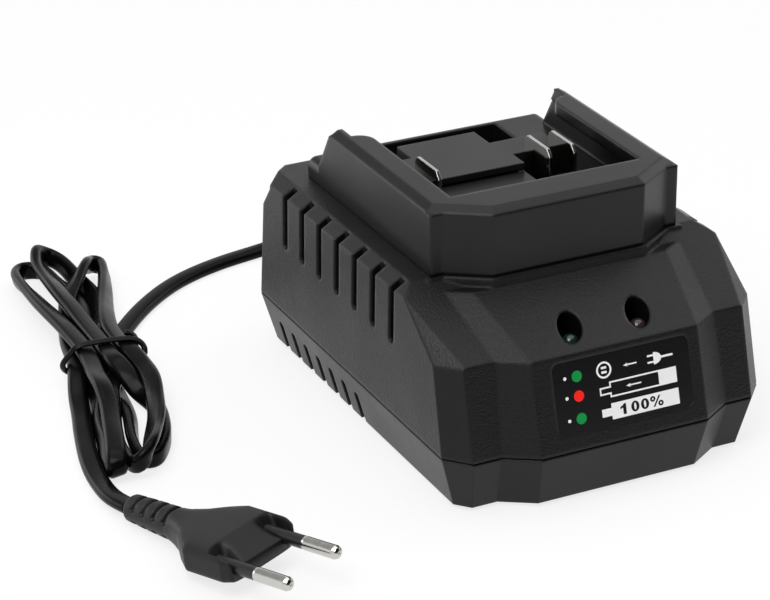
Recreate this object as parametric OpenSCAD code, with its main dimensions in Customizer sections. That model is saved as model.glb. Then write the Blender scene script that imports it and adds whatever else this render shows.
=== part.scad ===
/* [Housing] */
// width of the housing at the seam
body_w = 102.6; // [96:0.2:112]
// depth of the housing at the seam
body_l = 143; // [136:0.5:156]
// height of the seam between the two housings
seam_z = 17; // [15:0.5:18]
// height of the crease where the front face turns into the front slope
crease_z = 43.8; // [41:0.2:46]
// height of the flat roof
roof_z = 58.4; // [56:0.2:62]
// wall thickness of both housings
wall = 2.5; // [2:0.1:3]
// width of the nose that carries the label
nose_w = 53.4; // [48:0.2:58]
// how far the nose stands out from the shoulders
nose_out = 6.1; // [4:0.1:8]
// how far the lower housing draws in at its foot
foot_inset = 4.4; // [2:0.1:6]
// lean of the front face from upright
front_lean = 15.6; // [12:0.1:18]
// pitch of the front slope
slope_pitch = 25; // [22:0.5:28]

/* [Vents] */
// tall vent slots on each side
slot_count = 7; // [4:1:7]
// spacing of the tall slots
slot_pitch = 12; // [10:0.5:12]
// width of the tall slots
slot_w = 3.3; // [2:0.1:4]
// spacing of the low slots
low_pitch = 8.9; // [7:0.1:9]
// width of the low slots
low_w = 2.9; // [2:0.1:4]

/* [Battery dock] */
// width over the dock's side walls
dock_w = 80; // [78:0.5:84]
// height of the dock's rails above the roof
dock_h = 20.4; // [19:0.2:23]
// width of each rail flange, from the dock's side inwards
flange_w = 9.4; // [8.5:0.1:11]
// thickness of the dock's side walls
side_t = 3.5; // [2.5:0.1:5]
// thickness of the rail flanges
flange_t = 4; // [3:0.1:5]
// depth of the dock's front wall at the top
dock_front_t = 13.8; // [11:0.2:15]
// height of the terminal deck above the dock's floor
deck_rise = 5.2; // [4:0.1:6]

/* [Terminals] */
// thickness of a blade
blade_t = 1; // [0.6:0.1:1.2]
// length of a blade along the slide direction
blade_l = 15.5; // [12:0.5:16]
// height of a blade above the terminal deck
blade_h = 6; // [4:0.2:7]

/* [Label and lights] */
// width of the state label
label_w = 43.4; // [38:0.2:46]
// height of the state label
label_h = 20.4; // [17:0.2:21]
// spacing of the two light windows
led_pitch = 21.8; // [18:0.2:24]
// short width of an oval light window
window_w = 7.2; // [6.4:0.1:8]
// long width of an oval light window
window_l = 12; // [11:0.1:13]
// lean of a light window, away from straight up the slope
window_lean = 22; // [10:1:30]

/* [Cord] */
// width of the flat cord
cord_w = 5.4; // [5:0.1:6]
// thickness of the flat cord
cord_t = 3.1; // [2.6:0.1:3.4]
// diameter of a plug pin
pin_d = 4; // [3.8:0.05:4.2]
// length of a plug pin
pin_l = 19; // [18:0.5:20]
// spacing of the plug pins
pin_gap = 19; // [18:0.1:19.4]

/* [Hidden] */
$fn = 48;
big = 400;

// levels
base_z = 1.2;
floor_z = base_z + wall;
knee_drop = 2.7;
knee_z = roof_z - knee_drop;
step_z = crease_z - 0.5;
bumper_z = step_z - 5.8;
reveal = 0.5;

// plan of the housing at the seam
half_w = body_w / 2;
front_y = -body_l / 2;
rear_y = body_l / 2;
corner_x = 6.2;
corner_y = 6.95;
nose_side = 9.8;
wing_y = front_y + nose_out;
cheek_x = half_w - corner_x;
nose_limit = cheek_x - 2;
corner_az = atan2(-corner_x, corner_y);
nose_side_az = atan2(-nose_side, nose_out);
rear_az = -corner_az;
crease_rise = crease_z - seam_z;
nose_crease_y = front_y + crease_rise * tan(front_lean);
wing_crease_y = wing_y + crease_rise * tan(front_lean) - 0.7;
corner_crease = [cheek_x - 0.7, wing_crease_y, crease_z];
rear_top_y = rear_y - 5.7;
rear_bumper_y = rear_y - 1.3;

// leans of the faces from upright, and their pitches above the creases
foot_lean = -atan(foot_inset / (seam_z - base_z));
side_lean = 1.1;
wing_lean = front_lean - 1.4;
corner_lean = 10;
nose_side_lean = 13.6;
bumper_lean = 3.6;
rear_lean = 7.5;
wing_up = 89 - slope_pitch;
nose_up = 90 - slope_pitch;
corner_up = 44.3;
nose_side_up = 58;
bevel_up = 58;
bumper_up = 37.2;
rear_corner_az = 48.7;
shoulder_x = half_w - (knee_z - seam_z) * tan(side_lean);

// dock
dock_half = dock_w / 2;
rail_gap = dock_w - 2 * flange_w;
channel_w = dock_w - 2 * side_t;
dock_top = roof_z + dock_h;
dock_front_y = front_y + 34.3;
dock_rear_y = rear_y - 19.4;
dock_nose = dock_half - 15.8;
dock_side_x = 3.8;
dock_side_y = 8;
dock_bevel = 2.7;
dock_bevel_h = 1.7;
plinth_out = 1.4;
floor_rise = 6.4;
dock_floor_z = roof_z + floor_rise;
dock_floor_t = 2.5;
dock_wall = 2.5;
rim_r = 2.8;
front_block_y = dock_front_y + dock_front_t;
flange_y = dock_rear_y - 27.1;
flange_r = 5.2;
wall_top_y = dock_rear_y - 15.6;
wall_foot_y = dock_rear_y - 7.6;
pit_rear_y = dock_rear_y - 1.6;

// terminal deck
deck_gap = 0.5;
deck_wall = 2;
deck_half = dock_half - 13.5;
pit_half = deck_half - 3.5;
deck_z = dock_floor_z + deck_rise;
ledge_z = deck_z - 2.6;
pan_z = roof_z + 2;
pan_half = deck_half + 4.5;
deck_y0 = front_block_y + deck_gap;
deck_front_y = front_block_y + 31;
deck_mid_y = deck_front_y + 18.4;
deck_rear_y = deck_mid_y + 10;
pan_rear_y = deck_rear_y + 4.1;
neg_x = 4.2 - deck_half;
pos_x = deck_half - 4.2;
sig_x = pos_x - 8.1;
well_x = sig_x - 4.2;
well_l = 7.5;
tongue_x = 8.5 - deck_half;
tongue_w = well_x - 2 - tongue_x;
deck_spot = [[-deck_half - 2.5, deck_rear_y], [deck_half + 2.5, deck_rear_y]];
roof_hole_half = deck_half - 0.5;
roof_hole_y0 = front_block_y + 7.4;
roof_hole_y1 = deck_rear_y - 4;

// blades
blade_y0 = front_block_y + 22.5;
blade_top = deck_z + blade_h;
blade_fit = 0.05;
tab_z = roof_z - 8;

// label and lights
label_x = 1.1;
label_rise = 15.7;
label_fit = 0.1;
label_sink = 0.6;
plate_x = 56;
plate_y = 34;
plate_t = 0.3;
led_x = 0.9;
lamp_x = led_x + 0.3;
led_y = nose_crease_y + 8.4;
led_d = 5;
led_lead_x = 1.27;
led_rise = (led_y - nose_crease_y) * tan(slope_pitch);
led_top = crease_z + led_rise - 2.3;
rim_z = led_top - 7.1;
tunnel = 8;

// board and the posts under it
board_z = 9.7;
board_t = 1.6;
board_top = board_z + board_t;
board_half = half_w - 15.3;
board_y0 = front_y + 12;
board_y1 = rear_y - 24.5;
post_x = half_w - 10.8;
post_y0 = front_y + 25.5;
post_y1 = rear_y - 17.5;
board_post_x = board_half - 4.5;
board_post = [for (x = [-board_post_x, board_post_x], y = [board_y0 + 9.5, board_y1 - 6]) [x, y]];
case_post = [for (x = [-post_x, post_x], y = [post_y0, post_y1]) [x, y]];
foot_x = half_w - 21.3;
foot_spot = [for (x = [-foot_x, foot_x], y = [front_y + 17.5, rear_y - 13.5]) [x, y]];
dock_post_x = dock_half - 4.5;
dock_spot = [for (x = [-dock_post_x, dock_post_x], y = [dock_front_y + 17.2, dock_rear_y - 12.1]) [x, y]];

// screws: shank, thread hole, through hole, head and its counterbore
shank_d = 2.8;
thread_d = 2.9;
through_d = 3.5;
head_d = 5.4;
head_h = 2;
bore_d = 6.6;
head_z = 8;

// transformer
core_w = 36;
core_h = 30;
core_t = 12;
side_w = 5;
window_x = 8;
leg_w = 10;
seat = 0.05;

// cord
gland_z = seam_z;
gland_d = 10.4;
gland_l = 27;
pad_y = 5;
pad_half = 11;
inner_y = rear_y - 21.5;
clamp_y = rear_y - 14.5;
clamp_half = 12.5;
clamp_t = 3;
clamp_spot = [[-8.5, clamp_y], [8.5, clamp_y]];
plug_at = [-110.7, -70.1, 9.5];
plug_turn = [3, -6, -67];
plug_half = 13.6;
plug_h = 9.2;
sleeve_d = pin_d - 0.2;
sleeve_l = 6.7;
sleeve_t = 0.4;
pin_step = 0.6;
pin_root = 14;
pin_seat = 5;
scoop = 0.8;
relief_x = -29;
relief_l = 22.3;
lead_path = [[0, 98.5, 17], [0, 106, 17], [-2, 114, 15.5], [-9, 120.5, 12], [-18.5, 123.5, 8.5],
    [-29, 123.5, 5.2], [-39, 121, 2.8], [-49, 117.5, 1.8], [-59, 113.5, 1.6], [-68, 108.7, 1.6],
    [-76, 102.7, 1.6], [-83, 96.5, 1.6], [-87.5, 91, 1.6]];
tail_path = [[-117.2, 48.6, 1.7], [-120.3, 40, 1.7], [-123.5, 31, 1.6], [-126.6, 21, 1.6], [-129, 12, 1.6],
    [-130.6, 3, 1.7], [-131.4, -5, 2], [-131.6, -12, 2.7], [-131.1, -18, 3.5], [-129.5, -22.6, 4.1]];
hank_line = [[-120.2, 49.7], [-117, 60], [-110, 74], [-106.5, 85], [-107.5, 110], [-108.2, 136], [-106, 143.5],
    [-99, 145.5], [-92.5, 148.5], [-86, 145.5], [-77, 137], [-76, 131], [-79, 120], [-89.8, 92.9],
    [-85.2, 89.1], [-88.5, 79], [-89, 68], [-89, 55], [-93, 33], [-102, 11], [-108, 1.5], [-113, -2.5],
    [-118, -4], [-123, -4], [-126.6, -2.5], [-126.8, 1], [-121.8, 21], [-114.2, 47.5]];
hank_h = 13;
tie_at = [-99.5, 70, 0.2];
tie_az = -8;

// the space outside a face: p lies on the face, az and up aim its outward normal
module beyond(p, az, up, t) {
    translate(p)
        rotate([0, 0, az])
        rotate([0, -up, 0])
        translate([-t, -big / 2, -big / 2])
        cube([big, big, big]);
}

module both_sides() {
    children();
    mirror([1, 0, 0]) children();
}

module slab(z0, z1) {
    translate([-half_w - 5, front_y - 5, z0]) cube([body_w + 10, body_l + 10, z1 - z0]);
}

// upper housing without its nose; the rear is either the bumper or the wall above it
module upper_core(t, z0, bumper) {
    difference() {
        slab(z0, roof_z - t);
        both_sides() {
            beyond([half_w, 0, seam_z], 0, side_lean, t);
            beyond([shoulder_x, 0, knee_z], 0, bevel_up, t);
            beyond([cheek_x, wing_y, seam_z], corner_az, corner_lean, t);
            beyond(corner_crease, corner_az, corner_up, t);
            if (bumper) beyond([cheek_x, rear_y, seam_z], rear_az, bumper_lean, t);
            if (!bumper) beyond([half_w - 8.7, rear_top_y - 1.6, knee_z], rear_corner_az, rear_lean, t);
        }
        beyond([0, wing_y, seam_z], -90, wing_lean, t);
        beyond([0, wing_crease_y, crease_z], -90, wing_up, t);
        if (bumper) beyond([0, rear_y, seam_z], 90, bumper_lean, t);
        if (bumper) beyond([0, rear_bumper_y, bumper_z], 90, bumper_up, t);
        if (!bumper) beyond([0, rear_top_y, step_z], 90, rear_lean, t);
    }
}

module upper_nose(t, z0) {
    difference() {
        slab(z0, knee_z - t);
        both_sides() {
            beyond([nose_w / 2, front_y, seam_z], nose_side_az, nose_side_lean, t);
            beyond([nose_w / 2 - 0.3, nose_crease_y, crease_z], nose_side_az, nose_side_up, t);
            beyond([nose_limit, 0, seam_z], 0, 0, 0);
        }
        beyond([0, front_y, seam_z], -90, front_lean, t);
        beyond([0, nose_crease_y, crease_z], -90, nose_up, t);
        beyond([0, rear_y - 30, seam_z], 90, 0, t);
    }
}

module dock_plan(o) {
    side_y = dock_front_y + dock_side_y - o;
    side_x = dock_half - dock_side_x + o * 0.3;
    nose_x = dock_nose + o * 0.3;
    polygon([[-dock_half - o, dock_rear_y + o], [-dock_half - o, side_y], [-side_x, side_y],
        [-nose_x, dock_front_y - o], [nose_x, dock_front_y - o], [side_x, side_y],
        [dock_half + o, side_y], [dock_half + o, dock_rear_y + o]]);
}

module upper_form(t, z0) {
    upper_core(t, z0, false);
    upper_core(t, z0, true);
    upper_nose(t, z0);
    translate([0, 0, knee_z - 6]) linear_extrude(roof_z - t - knee_z + 6) dock_plan(plinth_out - t);
}

module lower_core(t, z0, z1) {
    difference() {
        slab(z0, z1);
        both_sides() {
            beyond([half_w, 0, seam_z], 0, foot_lean, t);
            beyond([cheek_x, wing_y, seam_z], corner_az, foot_lean, t);
            beyond([cheek_x, rear_y, seam_z], rear_az, foot_lean, t);
        }
        beyond([0, wing_y, seam_z], -90, foot_lean, t);
        beyond([0, rear_y, seam_z], 90, foot_lean, t);
    }
}

module lower_nose(t, z0, z1) {
    difference() {
        slab(z0, z1);
        both_sides() {
            beyond([nose_w / 2, front_y, seam_z], nose_side_az, foot_lean, t);
            beyond([nose_limit, 0, seam_z], 0, 0, 0);
        }
        beyond([0, front_y, seam_z], -90, foot_lean, t);
        beyond([0, rear_y - 30, seam_z], 90, 0, t);
    }
}

module lower_form(t, z0, z1) {
    lower_core(t, z0, z1);
    lower_nose(t, z0, z1);
}

// a flat pad at the rear in which the gland sits
module gland_pad(z0, z1) {
    translate([-pad_half, rear_y - pad_y, z0]) cube([2 * pad_half, pad_y, z1 - z0]);
}

module gland_hole() {
    translate([0, rear_y + 1, gland_z]) rotate([90, 0, 0]) cylinder(d = gland_d + 0.2, h = pad_y + 2);
}

module posts(spots, d, z0, z1) {
    for (p = spots) translate([p[0], p[1], z0]) cylinder(d = d, h = z1 - z0);
}

module on_front(rise) {
    translate([0, front_y, seam_z])
        rotate([90 - front_lean, 0, 0])
        translate([0, rise, 0])
        children();
}

module round_box(w, h, r, t) {
    linear_extrude(t) union() {
        square([w - 2 * r, h], center = true);
        square([w, h - 2 * r], center = true);
        for (x = [-1, 1], y = [-1, 1]) translate([x * (w / 2 - r), y * (h / 2 - r)]) circle(r = r);
    }
}

// an oval window square to the front slope; grow widens it, from and to are depths under the slope
module window(x, grow, from, to) {
    short = window_w / 2 + grow;
    long = window_l / 2 + grow;
    translate([x, led_y, crease_z + led_rise])
        rotate([slope_pitch, 0, 0])
        translate([0, 0, -to])
        linear_extrude(to - from)
        rotate(-window_lean)
        polygon([for (a = [0:10:350]) [short * cos(a), long * sin(a)]]);
}

// each window or lamp in turn, about the middle between the two
module at_lamps(x) {
    for (s = [-1, 1]) translate([x + s * led_pitch / 2, led_y, 0]) children();
}

module windows(grow, from, to) {
    for (s = [-1, 1]) window(led_x + s * led_pitch / 2, grow, from, to);
}

module tall_slots() {
    for (k = [0:slot_count - 1]) translate([half_w - 4.6, rear_y - 25.5 - k * slot_pitch, crease_z - 4.9]) {
        translate([0, -slot_w / 2, slot_w / 2]) cube([20, slot_w, 30]);
        translate([0, 0, slot_w / 2]) rotate([0, 90, 0]) cylinder(d = slot_w, h = 20);
    }
}

module low_slots() {
    for (k = [0:6]) translate([half_w - 5.8, rear_y - 17.5 - k * low_pitch, 0]) {
        translate([0, -low_w / 2, -5]) cube([20, low_w, 16 - low_w / 2]);
        translate([0, 0, 11 - low_w / 2]) rotate([0, 90, 0]) cylinder(d = low_w, h = 20);
    }
}

module lower_housing() {
    color("#1b1b1d") difference() {
        union() {
            difference() {
                lower_form(0, base_z, seam_z);
                lower_form(wall, floor_z, seam_z + 1);
            }
            posts(case_post, 8, floor_z, seam_z);
            posts(board_post, 7, floor_z, board_z);
            gland_pad(base_z + 5, seam_z);
            translate([-clamp_half, clamp_y - 4, floor_z])
                cube([2 * clamp_half, 8, gland_z - cord_t / 2 - floor_z]);
            posts(clamp_spot, 7, floor_z, gland_z + cord_t / 2);
        }
        both_sides() low_slots();
        gland_hole();
        posts(case_post, through_d, 0, seam_z + 1);
        posts(case_post, bore_d, 0, head_z);
        posts(board_post, thread_d, board_z - 5, board_z + 1);
        posts(clamp_spot, thread_d, gland_z - 10, gland_z + 6);
        posts(foot_spot, 10, 0, base_z + 0.8);
        translate([0, 2, base_z - 1]) round_box(plate_x + 0.2, plate_y + 0.2, 2, 1 + plate_t);
    }
}

module upper_housing() {
    color("#1d1d1f") difference() {
        union() {
            difference() {
                union() {
                    upper_form(0, seam_z + reveal);
                    upper_form(reveal + 0.1, seam_z);
                }
                upper_form(wall, seam_z - 1);
            }
            intersection() {
                upper_form(0.5, seam_z);
                union() {
                    posts(case_post, 8, seam_z, roof_z - 1);
                    windows(1.3, 0, tunnel);
                }
            }
            intersection() {
                upper_form(0.5, seam_z);
                gland_pad(seam_z, seam_z + 11);
            }
            gland_pad(seam_z, seam_z + 10);
        }
        both_sides() tall_slots();
        gland_hole();
        posts(case_post, thread_d, seam_z - 1, seam_z + 13);
        windows(0, -5, tunnel + 1);
        at_lamps(lamp_x) translate([0, 0, rim_z - 5])
            cylinder(d = led_d + 1.1, h = led_top - rim_z + 5.4);
        on_front(label_rise) translate([label_x, 0, -label_sink])
            round_box(label_w + 2 * label_fit, label_h + 2 * label_fit, 2 + label_fit, 5);
        translate([-roof_hole_half, roof_hole_y0, knee_z - 10])
            cube([2 * roof_hole_half, roof_hole_y1 - roof_hole_y0, 30]);
        posts(dock_spot, through_d, knee_z - 10, roof_z + 10);
        posts(deck_spot, through_d, knee_z - 10, roof_z + 10);
    }
}

// a long wedge that bevels the dock's top edge from a to b
module edge_bevel(a, b) {
    d = b - a;
    translate([a[0], a[1], dock_top])
        rotate([0, 0, atan2(d[1], d[0])])
        rotate([90, 0, 90])
        translate([0, 0, -6])
        linear_extrude(norm(d) + 12)
        polygon([[dock_bevel, 0], [dock_bevel, 2], [-4, 2], [-4, -dock_bevel_h], [0, -dock_bevel_h]]);
}

module dock_walls() {
    side_y = dock_front_y + dock_side_y;
    side_x = dock_half - dock_side_x;
    difference() {
        translate([0, 0, roof_z]) linear_extrude(dock_h) dock_plan(0);
        edge_bevel([-dock_half, dock_rear_y], [-dock_half, side_y]);
        edge_bevel([-side_x, side_y], [-dock_nose, dock_front_y]);
        edge_bevel([-dock_nose, dock_front_y], [dock_nose, dock_front_y]);
        edge_bevel([dock_nose, dock_front_y], [side_x, side_y]);
        edge_bevel([dock_half, side_y], [dock_half, dock_rear_y]);
        // channel and the gap between the flanges
        translate([-channel_w / 2, front_block_y, dock_floor_z])
            cube([channel_w, big, dock_h - floor_rise - flange_t]);
        translate([-rail_gap / 2, front_block_y, dock_floor_z]) cube([rail_gap, big, big]);
        // slanted rear ends
        rotate([90, 0, 90]) translate([0, 0, -big / 2]) linear_extrude(big)
            polygon([[wall_top_y, dock_top + 1], [wall_top_y, dock_top - 1], [wall_foot_y, dock_floor_z],
                [big, dock_floor_z], [big, dock_top + 1]]);
        // flange ends set back and rounded
        both_sides() difference() {
            translate([rail_gap / 2 - 1, flange_y, dock_top - flange_t])
                cube([flange_r + 1, 30, flange_t + 1]);
            translate([rail_gap / 2 + flange_r, flange_y, dock_top - flange_t - 1])
                cylinder(r = flange_r, h = flange_t + 3);
        }
        // rounded side edges of the rear rim
        both_sides() difference() {
            translate([dock_half - rim_r, wall_foot_y, dock_floor_z - rim_r]) cube([4, 20, 4]);
            translate([dock_half - rim_r, wall_foot_y - 0.5, dock_floor_z - rim_r])
                rotate([-90, 0, 0]) cylinder(r = rim_r, h = 21);
        }
    }
}

module battery_dock() {
    under = dock_floor_z - dock_floor_t - roof_z + 1;
    color("#19191b") difference() {
        dock_walls();
        // hollow under the floor and inside the front block
        translate([-pan_half - deck_gap, front_block_y - dock_wall, roof_z - 1])
            cube([2 * (pan_half + deck_gap), dock_rear_y - 8.1 - front_block_y + dock_wall, under]);
        translate([-dock_nose, dock_front_y + dock_wall, roof_z - 1])
            cube([2 * dock_nose, dock_front_t - 2 * dock_wall, dock_h - 3]);
        // window for the terminal deck and the latch pit behind it
        translate([-deck_half - deck_gap, front_block_y, roof_z])
            cube([2 * (deck_half + deck_gap), deck_mid_y + deck_gap - front_block_y, 10]);
        translate([-pit_half, deck_mid_y - 6, roof_z - 1])
            cube([2 * pit_half, pit_rear_y - deck_mid_y + 6, 10]);
        posts(dock_spot, thread_d, roof_z - 1, roof_z + 5);
    }
}

module terminal_deck() {
    high = deck_z - roof_z;
    low = ledge_z - roof_z;
    well_rear_y = deck_front_y + well_l;
    color("#202022") difference() {
        union() {
            translate([-pan_half, deck_y0, roof_z])
                cube([2 * pan_half, pan_rear_y - deck_y0, pan_z - roof_z]);
            translate([-deck_half, deck_y0, roof_z])
                cube([deck_half + well_x, deck_front_y - deck_y0, low]);
            translate([-deck_half, deck_front_y, roof_z])
                cube([2 * deck_half, deck_mid_y - deck_front_y, high]);
            translate([tongue_x, deck_mid_y - 1, roof_z])
                cube([tongue_w, deck_rear_y - deck_mid_y + 1, high]);
            posts(deck_spot, 5, roof_z, pan_z + 1.6);
        }
        // hollow from below
        translate([deck_wall - deck_half, deck_y0 + deck_wall, roof_z - 1])
            cube([deck_half + well_x - 2 * deck_wall, deck_front_y - deck_y0 - deck_wall, low - 1]);
        translate([deck_wall - deck_half, deck_front_y, roof_z - 1])
            cube([deck_half + well_x - 2 * deck_wall, deck_mid_y - deck_front_y - deck_wall, high - 1]);
        translate([well_x, well_rear_y + deck_wall, roof_z - 1])
            cube([deck_half - well_x - deck_wall, deck_mid_y - well_rear_y - 2 * deck_wall, high - 1]);
        translate([tongue_x + deck_wall, deck_mid_y - 4, roof_z - 1])
            cube([tongue_w - 2 * deck_wall, deck_rear_y - deck_mid_y + 4 - deck_wall, high - 1]);
        // open well round the signal and positive blades
        translate([well_x, deck_front_y - 1, pan_z]) cube([deck_half, well_l + 1, big]);
        // blade slots
        for (x = [neg_x, sig_x, pos_x])
            translate([x - blade_t / 2 - blade_fit, blade_y0 - blade_fit, roof_z - 1])
                cube([blade_t + 2 * blade_fit, blade_l + 2 * blade_fit, 30]);
        posts(deck_spot, thread_d, roof_z - 1, pan_z + 1);
    }
}

// a blade with a bevelled front corner above, and shoulders and a solder tab below
module blade(x, under_z) {
    translate([x - blade_t / 2, blade_y0, 0])
        rotate([90, 0, 90])
        linear_extrude(blade_t)
        polygon([[0, under_z], [0, blade_top - 2.2], [2, blade_top], [blade_l - 1.6, blade_top],
            [blade_l, blade_top - 1.6], [blade_l, under_z], [blade_l + 1.5, under_z],
            [blade_l + 1.5, under_z - 2], [10, under_z - 2], [10, tab_z], [6, tab_z], [6, under_z - 2],
            [-1.5, under_z - 2], [-1.5, under_z]]);
}

module negative_blade() {
    color("#c9a24a") blade(neg_x, ledge_z - 2);
}

module signal_blade() {
    color("#c9a24a") blade(sig_x, roof_z);
}

module positive_blade() {
    color("#c9a24a") blade(pos_x, roof_z);
}

module front_label() {
    color("#0b0b0c") on_front(label_rise) translate([label_x, 0, -label_sink])
        round_box(label_w, label_h, 2, label_sink - 0.15);
}

module rating_label() {
    color("#b9bcc0") translate([0, 2, base_z]) round_box(plate_x, plate_y, 2, plate_t);
}

module rubber_feet() {
    color("#101010") for (p = foot_spot) translate([p[0], p[1], 0]) rotate_extrude()
        polygon([[0, 0], [4.2, 0], [4.9, 0.7], [4.9, 2], [0, 2]]);
}

// a pan head screw that points up, with its head below z
module screw_up(z, len) {
    slot = head_d * 0.6;
    difference() {
        union() {
            translate([0, 0, z - head_h]) cylinder(d = head_d, h = head_h);
            translate([0, 0, z - 0.1]) cylinder(d = shank_d, h = len + 0.1);
        }
        translate([-slot / 2, -0.45, z - head_h - 1]) cube([slot, 0.9, 2.2]);
        translate([-0.45, -slot / 2, z - head_h - 1]) cube([0.9, slot, 2.2]);
    }
}

module screws_up(spots, z, len) {
    color("#8d9094") for (p = spots) translate([p[0], p[1], 0]) screw_up(z, len);
}

module screws_down(spots, z, len) {
    color("#8d9094") for (p = spots) translate([p[0], p[1], z]) mirror([0, 0, 1]) screw_up(0, len);
}

module case_screws() {
    screws_up(case_post, head_z, seam_z - head_z + 9);
}

module dock_screws() {
    screws_up(dock_spot, roof_z - wall, wall + 4.5);
}

module deck_screws() {
    screws_up(deck_spot, roof_z - wall, wall + 2.5);
}

module board_screws() {
    screws_down(board_post, board_top, board_t + 4.4);
}

module clamp_screws() {
    screws_down(clamp_spot, gland_z + cord_t / 2 + clamp_t, clamp_t + 9);
}

module led(x) {
    translate([x, led_y, 0]) {
        translate([0, 0, rim_z + 1]) cylinder(d = led_d, h = led_top - rim_z - 1 - led_d / 2);
        translate([0, 0, led_top - led_d / 2]) intersection() {
            sphere(d = led_d);
            cylinder(d = led_d + 1, h = led_d);
        }
        translate([0, 0, rim_z]) cylinder(d = led_d + 0.6, h = 1.05);
        for (s = [-1, 1]) translate([s * led_lead_x - 0.25, -0.25, board_top])
            cube([0.5, 0.5, rim_z + 0.05 - board_top]);
    }
}

module led_green() {
    color("#9fd6a4") led(lamp_x - led_pitch / 2);
}

module led_red() {
    color("#e6d9d6") led(lamp_x + led_pitch / 2);
}

module led_spacers() {
    color("#26262a") at_lamps(lamp_x) difference() {
        translate([0, 0, board_top]) cylinder(d = led_d, h = rim_z - board_top);
        for (q = [-1, 1]) translate([q * led_lead_x - 0.4, -0.4, board_top - 1]) cube([0.8, 0.8, 60]);
    }
}

module cord_gland() {
    color("#141415") translate([0, rear_y, gland_z]) rotate([-90, 0, 0]) rotate_extrude()
        polygon([[0, -pad_y - 2.1], [7, -pad_y - 2.1], [7, -pad_y - 0.1], [gland_d / 2, -pad_y - 0.1],
            [gland_d / 2, 0.1], [7, 0.1], [7, 1.9], [5.6, 2.6], [5.4, 6], [4.6, 6.4], [4.6, 7.4],
            [5.2, 7.8], [5, 10.6], [4.3, 11],
            [4.3, 12], [4.9, 12.4], [4.7, 15.2], [4, 15.6], [4, 16.6], [4.6, 17], [4.4, 19.8], [3.8, 20.2],
            [3.8, 21.2], [4.3, 21.6], [4, gland_l - 0.6], [3.4, gland_l], [0, gland_l]]);
}

module cord_inner_end() {
    len = rear_y - pad_y - 2.1 - inner_y;
    color("#161617") translate([0, inner_y, gland_z]) {
        translate([(cord_t - cord_w) / 2, 0, -cord_t / 2]) cube([cord_w - cord_t, len, cord_t]);
        for (s = [-1, 1]) translate([s * (cord_w - cord_t) / 2, 0, 0])
            rotate([-90, 0, 0]) cylinder(d = cord_t, h = len);
    }
}

module cord_clamp() {
    color("#d8d6cf") difference() {
        translate([-clamp_half, clamp_y - 3.5, gland_z + cord_t / 2]) cube([2 * clamp_half, 7, clamp_t]);
        posts(clamp_spot, shank_d + 0.2, gland_z, gland_z + 10);
    }
}

module main_board() {
    color("#2f6b3a") difference() {
        translate([-board_half, board_y0, board_z]) cube([2 * board_half, board_y1 - board_y0, board_t]);
        posts(board_post, shank_d + 0.2, board_z - 1, board_top + 1);
    }
}

// a shell core round its middle leg; the bobbin and the winding take their sizes from it
module at_core() {
    translate([-14, blade_y0 - 15.1, board_top + 4]) children();
}

module core_leg(grow, z0, z1) {
    translate([core_w / 2 - leg_w / 2 - grow, -grow, z0])
        cube([leg_w + 2 * grow, core_t + 2 * grow, z1 - z0]);
}

module transformer_core() {
    color("#3a3a3c") at_core() difference() {
        cube([core_w, core_t, core_h]);
        for (x = [side_w, core_w - side_w - window_x]) translate([x, -1, side_w + 1])
            cube([window_x, core_t + 2, core_h - 2 * side_w - 2]);
    }
}

module transformer_bobbin() {
    low = side_w + 1;
    high = core_h - side_w - 1;
    x0 = side_w + 0.2;
    across = core_w - 2 * x0;
    color("#20242a") at_core() difference() {
        union() {
            translate([x0, -9, -4]) cube([across, core_t + 18, 4 - seat]);
            for (y = [-9, core_t + seat]) translate([x0, y, -4]) cube([across, 9 - seat, low + 5]);
            for (z = [low + seat, high - 1 - seat]) translate([x0, -6, z]) cube([across, core_t + 12, 1]);
            core_leg(1, low + seat, high - seat);
        }
        core_leg(seat, 0, core_h);
    }
}

module transformer_winding() {
    color("#d7b23c") at_core() difference() {
        translate([side_w + 0.5, -5.4, side_w + 2.1])
            cube([core_w - 2 * side_w - 1, core_t + 10.8, core_h - 2 * side_w - 4.2]);
        core_leg(1 + seat, 0, core_h);
    }
}

module filter_choke() {
    color("#b4632f") translate([-19.5, board_y1 - 14, board_top]) {
        difference() {
            translate([-8, -4.5, 2]) cube([16, 9, 17]);
            translate([-3.5, -5.5, 6]) cube([7, 11, 9]);
        }
        translate([-9, -5.5, 0]) cube([18, 11, 2]);
    }
}

module filter_capacitor() {
    color("#c9b23a") translate([-10, board_y1 - 10, board_top]) cube([14.5, 8, 14]);
}

module fuse() {
    color("#d9dee2") translate([16.5, board_y1 - 5.5, board_top + 4])
        rotate([0, 90, 0]) cylinder(d = 5, h = 20, center = true);
    color("#b9bcc0") for (x = [8, 21.8]) translate([x, board_y1 - 8.4, board_top]) difference() {
        cube([3.2, 5.8, 5]);
        translate([-1, 2.9, 4]) rotate([0, 90, 0]) cylinder(d = 5.05, h = 6);
    }
}

module bridge_rectifier() {
    color("#17181a") translate([4, board_y1 - 22, board_top]) cube([20, 4, 16]);
}

module bulk_capacitor() {
    color("#23345e") translate([-23, board_y1 - 29, board_top]) cylinder(d = 18, h = 32);
}

module output_capacitors() {
    color("#23345e") for (p = [[14, 21.5], [2, 15.5]]) translate([p[0], board_y0 + p[1], board_top])
        cylinder(d = 10, h = 20);
}

// a plate with two folded fins, which stands on the board
module heatsink() {
    cube([2, 28, 30]);
    for (y = [0, 26]) translate([2, y, 0]) cube([6, 2, 30]);
}

// a flat package on three legs, its back against a heat sink
module power_package() {
    color("#17181a") translate([2, 9, 6]) cube([4.5, 10, 16]);
    color("#b9bcc0") for (y = [11.4, 14, 16.6]) translate([3.8, y - 0.4, 0]) cube([0.6, 0.8, 6]);
}

module primary_side() {
    translate([3 - board_half, blade_y0 - 21.1, board_top]) children();
}

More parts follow.
